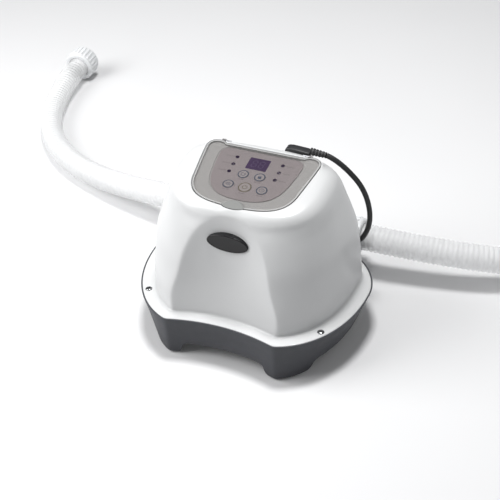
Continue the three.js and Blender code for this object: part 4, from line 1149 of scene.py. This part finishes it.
def pan_screw(name):
    """A cross-head screw, and a black ring in the gap round its head, painted shade for the gap's shadow."""
    x, y, _ = node_middle(name)
    seat = FLANGE_TOP - SCREW_DEPTH + 0.3
    profile = [(0, 0.01), (0, SCREW_RADIUS - 0.15), (0.15, SCREW_RADIUS), (SCREW_RIM, SCREW_RADIUS)]
    profile += [(SCREW_RIM + (SCREW_HIGH - SCREW_RIM) * math.sin(a), SCREW_RADIUS * math.cos(a) ** 0.8)
                for a in np.radians((12, 24, 36, 48, 60, 72, 82))]
    head = turned(profile + [(SCREW_HIGH, 0.01)], 64, (x, y, seat), (0, 0, 1))
    turn = 0.5 if "left" in name else -0.3
    for a in (turn, turn + math.pi / 2):
        head = cut(head, slot_wedge(x, y, seat + SCREW_HIGH, a))
    shank = rod((x, y, seat - SCREW_LONG), (x, y, seat + 0.3), 2.0, 24)
    add_object(name + "_head", joined("screw", [head, shank]), CHROME, "unit", [name], 30)
    # A black ring fills the gap between head and seat: painted shade where the gap's shadow falls
    inner, outer = SCREW_RADIUS + 0.05, SCREW_SEAT - 0.02
    ring = rounded([(0.05, inner), (1.2, inner), (1.2, outer), (0.05, outer)], 0.1)
    painted_gap_shade = turned(ring, 64, (x, y, FLANGE_TOP - SCREW_DEPTH), (0, 0, 1))
    add_object(name + "_gap_shade", painted_gap_shade, BLACK_SATIN, "unit", (), 30)


for name in SCREWS:
    pan_screw(name)


# ------------------------------------------------------------------ feet, gland
PAD_HALF_WIDE, PAD_HALF_LONG = 9, 11
for corner in CORNERS:
    name = "foot_pad_" + corner
    x, y, _ = node_middle(name)
    angles = circle(64)
    rings = [np.column_stack([x + (PAD_HALF_WIDE - k) * np.cos(angles),
                              y + (PAD_HALF_LONG - k) * np.sin(angles), np.full(64, z)])
             for k, z in ((0.5, 0), (0.1, 0.3), (0, 0.7), (0, 1.5))]
    add_object(name + "_disc", loft("pad", rings), PAD_RUBBER, "unit", [name], 50)

gland_face = to_unit(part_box("mains_gland")[0])[1]
gland_root = (gland_middle[0], gland_face, gland_middle[2])
gland_profile = rounded([(0, 3.2), (0, 9.6), (3.2, 9.6), (3.2, 7.6), (5.2, 7.6), (5.2, 8.4), (9.5, 8.2),
                         (11.5, 6.4), (11.5, 3.2)], 0.35)
gland_grip = rounded([(5.6, 7.9), (5.6, 8.9), (9.0, 8.7), (9.0, 7.9)], 0.2)
gland_parts = [turned(gland_profile, 48, gland_root, (0, 1, 0)),
               turned(gland_grip, 10, gland_root, (0, 1, 0))]
add_object("mains_gland_nut", joined("gland", gland_parts), BLACK_SATIN, "unit",
           ["mains_gland"], 30)


# ------------------------------------------------------------------ water pipe and cell
NECK_X, NECK_ROOT, NECK_TOP = -30.0, 88.0, 99.0


def on_pipe(outline, corner, sides):
    """A turned ring on the pipe; the outline is [(x, radius)]."""
    return turned(rounded(outline, corner), sides, PIPE_MIDDLE, (1, 0, 0))


def pipe_mesh():
    """The pipe with its beads, threads, the sensor's neck and the lugs that stand on the arms."""
    parts = [on_pipe([(-112, 22), (-82, 22), (-78, 27), (78, 27), (82, 22), (112, 22), (112, 18.5),
                      (82, 18.5), (74, 23.5), (-74, 23.5), (-82, 18.5), (-112, 18.5)], 1.6, 96)]
    for x in (-70, -48, 26, 72):
        parts.append(on_pipe([(x - 1.6, 26), (x - 1.6, 28), (x + 1.6, 28), (x + 1.6, 26)], 0.8, 96))
    for x in [*range(-108, -91, 4), *range(92, 109, 4)]:
        parts.append(on_pipe([(x - 1.2, 21), (x - 0.5, 22.6), (x + 0.5, 22.6), (x + 1.2, 21)], 0.3, 64))
    high = NECK_TOP - NECK_ROOT
    neck = rounded([(0, 9.5), (0, 16.5), (5, 15), (high, 15), (high, 9.5)], 0.8)
    parts.append(turned(neck, 64, (NECK_X, PIPE_Y, NECK_ROOT), (0, 0, 1)))
    parts += [block((x - 6.6, 170, 52), (x + 6.6, 190, 75), 1.6) for x in BRACKETS]
    return joined("pipe", parts)


add_object("pipe_shell", pipe_mesh(), PIPE_GREY, "unit", ["cell_housing"], 38)


def cell_head_mesh():
    """A saddle on the pipe, with grip ribs on top."""
    head = cut(block((34, 163, 72), (70, 189, 95), 3.0, 4), pipe_room(20, 84))
    ribs = [block((38.5 + 5 * k, 168, 94), (41 + 5 * k, 184, 95.9), 0.6) for k in range(6)]
    return joined("cell_head", [head] + ribs)


add_object("cell_head_cap", cell_head_mesh(), BLACK_SATIN, "unit", ["cell_head"], 38)

sensor_profile = rounded([(0, 0.01), (0, 14), (2.7, 14), (2.7, 9.6), (12.5, 8.8), (13.7, 7.4),
                          (13.7, 0.01)], 0.6)
sensor = turned(sensor_profile, 64, (NECK_X, PIPE_Y, NECK_TOP + 0.3), (0, 0, 1))
stem = rod((NECK_X, PIPE_Y, PIPE_Z - 4), (NECK_X, PIPE_Y, NECK_TOP + 1), 8.4, 48)
add_object("flow_sensor_head", joined("sensor", [sensor, stem]), BLACK_SATIN, "unit",
           ["flow_sensor"], 38)


def ribbed(profile, ribs, height, about, along, first, last):
    """A turned ring whose outer face between two profile rows carries round-topped grip ribs."""
    sides = 12 * ribs
    wave = np.clip(0.5 + 0.9 * np.cos(ribs * circle(sides)), 0, 1)
    rows = [(d, r + height * wave if first <= k <= last else r) for k, (d, r) in enumerate(profile)]
    return turned(rows, sides, about, along)


NUT_RADIUS, NUT_RIBS, NUT_RIB_HIGH = 30.0, 24, 2.0


def union_nut(about, along):
    """About is the pipe's middle, or the point that stands for it at a hose's far end."""
    profile = [(84, 22.6), (84, 27.6), (84.6, 28.2)]
    profile += [(d, NUT_RADIUS) for d in (86, 87.4, 88.6, 90, 114, 115.6, 117, 119)]
    profile += [(120.6, 29.3), (121.6, 28.3), (122, 27.2), (122, 22.9), (118.4, 22.6), (118.4, 24.7),
                (110, 24.7), (110, 22.6)]
    return ribbed(profile, NUT_RIBS, NUT_RIB_HIGH, about, along, 6, 7)


CUFF_FACE = 114.7
HOSE_END_GAP = 3.7


def hose_cuff(about, along):
    """The cuff in a hose's end, with its flange under the nut."""
    profile = rounded([(CUFF_FACE, 15.4), (CUFF_FACE, 24.3), (118.1, 24.3), (118.1, 17.4), (136.7, 17.4),
                       (136.7, 15.4)], 0.6)
    return turned(profile, 64, about, along)


for label, side, points in (("left", -1, LEFT_HOSE), ("right", 1, RIGHT_HOSE)):
    add_object(f"{label}_union_grip", union_nut(PIPE_MIDDLE, (side, 0, 0)), PIPE_GREY, f"{label}_union_nut",
               [f"{label}_union_nut"], 38)
    add_object(f"{label}_cuff_ring", hose_cuff(PIPE_MIDDLE, (side, 0, 0)), HOSE_VINYL, "unit",
               [f"{label}_cuff"], 38)
    path, tangents, _ = path_through(points, 2.0)
    end, back = path[-1], -tangents[-1]
    centre = end - back * HOSE_END_GAP - back * CUFF_FACE
    grip = add_object(f"{label}_end_grip", union_nut(centre, back), PIPE_GREY, f"{label}_end_nut",
                      [f"{label}_end_nut"], 38)
    cuff = add_object(f"{label}_end_cuff_ring", hose_cuff(centre, back), HOSE_VINYL, "unit",
                      [f"{label}_end_cuff"], 38)

nut_profile = [(0, 15.4), (0, 18.6), (0.6, 19.0), (1.4, 19.0), (12.4, 19.0), (13.3, 18.6), (13.9, 17.8),
               (13.9, 10.2), (10.4, 10.2), (10.4, 15.4)]
add_object("sensor_nut_grip", ribbed(nut_profile, 16, 0.9, (NECK_X, PIPE_Y, 92.1), (0, 0, 1), 3, 4),
           PIPE_GREY, "sensor_nut", ["sensor_nut"], 38)


# ------------------------------------------------------------------ lead's ends
RELIEF_RIBS, RELIEF_RIB_DEPTH = 5, 0.85


def relief(start, end, thick, thin):
    """A ribbed, tapering sleeve round the lead."""
    start, end = np.asarray(start, float), np.asarray(end, float)
    length = np.linalg.norm(end - start)
    t = np.linspace(0, 1, 97)
    wave = np.clip(0.8 * np.cos(TAU * RELIEF_RIBS * t) + 0.5, 0, 1)
    radii = thick + (thin - thick) * t - RELIEF_RIB_DEPTH * (1 - wave)
    profile = [(0, 0.01), *zip(length * t, radii), (length, LEAD_RADIUS + 0.05), (length, 0.01)]
    return turned(profile, 48, start, end - start)


upper = relief((57.8, 150.5, 252.3), np.array(LEAD[0]) + (-0.6, 0, 0.1), 6.1, 4.8)
relief_upper = add_object("relief_upper_sleeve", upper, LEAD_RUBBER, "unit",
                          ["lead_relief_upper"], 50)
lower = relief((70.3, 171, 83), np.array(LEAD[-1]) + (-0.6, 0, 0), 6.2, 5.0)
relief_lower = add_object("relief_lower_sleeve", lower, LEAD_RUBBER, "unit",
                          ["lead_relief_lower"], 50)


def connector_mesh():
    """Flat moulded plug with a sloping nose, thumb ribs on top, and its blade in the cover's socket."""
    outline = [(17.4, 245), (18.6, 243.3), (57, 243), (57, 252.5), (42, 253.7), (28, 254.5),
               (22.5, 253.9), (19, 252.1), (17.6, 248.9)]
    middle_x, middle_z = np.mean(outline, axis=0)
    rings = []
    for y, shrink in ((144, 1.4), (144.5, 0.5), (145.6, 0), (156.4, 0), (157.5, 0.5), (158, 1.4)):
        rings.append([(x + (middle_x - x) * shrink / 18, y, z + (middle_z - z) * shrink / 5.5)
                      for x, z in outline])
    body = loft("connector", rings)
    blade = block((34.4, 126, 238.8), (47.6, 157, 245.2), 0.8)
    web = block((32.6, 148.4, 238.4), (49.4, 157.4, 246), 1.0)
    ribs = [block((26 + 4 * k, 147, 253.1 - 0.25 * k), (28 + 4 * k, 155, 254.6 - 0.25 * k), 0.5)
            for k in range(6)]
    return joined("connector", [body, blade, web] + ribs)


connector = add_object("lead_connector_plug", connector_mesh(), BLACK_SATIN, "unit",
                       ["lead_connector"], 38)


# ------------------------------------------------------------------ stage and light
FLOOR_HALF, FLOOR_Z, FLOOR_GLOW = 6.0, -0.0004, 0.03
SKY = 0.165


def make_stage():
    corners = [(x * FLOOR_HALF, y * FLOOR_HALF, FLOOR_Z) for x, y in ((-1, -1), (1, -1), (1, 1), (-1, 1))]
    mesh = mesh_from("floor", corners, [(0, 1, 2, 3)])
    floor = placed("floor", mesh)
    material, tree, shader = new_material("floor_paper")
    drift = spread(tree, noise(tree, 2, 2), 0, 1)
    tinted(tree, drift, "Result", (0.70, 0.70, 0.705), (0.715, 0.715, 0.72), shader, "Base Color")
    shader.inputs["Roughness"].default_value = 0.75
    shader.inputs["Emission Color"].default_value = (1, 1, 1, 1)
    shader.inputs["Emission Strength"].default_value = FLOOR_GLOW
    mesh.materials.append(material)


def area_light(name, place, target, size, power):
    data = bpy.data.lights.new(name, "AREA")
    data.shape, data.size, data.energy = "SQUARE", size, power
    light = placed(name, data)
    direction = Vector(target) - Vector(place)
    light.location = place
    light.rotation_euler = direction.to_track_quat("-Z", "Y").to_euler()


def make_light():
    world = bpy.data.worlds.new("world")
    world.use_nodes = True
    background = world.node_tree.nodes["Background"]
    background.inputs["Color"].default_value = (0.95, 0.97, 1.0, 1)
    background.inputs["Strength"].default_value = SKY
    bpy.context.scene.world = world
    area_light("side", (-1.38, -0.66, 1.28), (0, 0, 0.1), 1.3, 33)
    area_light("top", (-0.04, 0.3, 2.48), (0, 0, 0), 0.5, 49)
    area_light("fill", (1.4, 0.1, 1.5), (0, 0, 0.1), 1.5, 3.5)
    bpy.context.scene.view_settings.view_transform = "Standard"
    bpy.context.scene.view_settings.look = "None"


make_stage()
make_light()

# ------------------------------------------------------------------ hidden parts kept from the CAD
CARRIED = {
    "main_board": BOARD, "display_board": BOARD, "transformer_core": STEEL, "transformer_coil": COPPER,
    "heat_sink": ALUMINIUM, "electrode_1": TITANIUM, "electrode_2": TITANIUM, "electrode_3": TITANIUM,
    "hinge_pin_left": STEEL, "hinge_pin_right": STEEL, "left_seal": PAD_RUBBER, "right_seal": PAD_RUBBER,
}
for name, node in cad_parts.items():
    if not node.hide_render:
        node.data.materials.clear()
        node.data.materials.append(CARRIED.get(name, BLACK_SATIN))
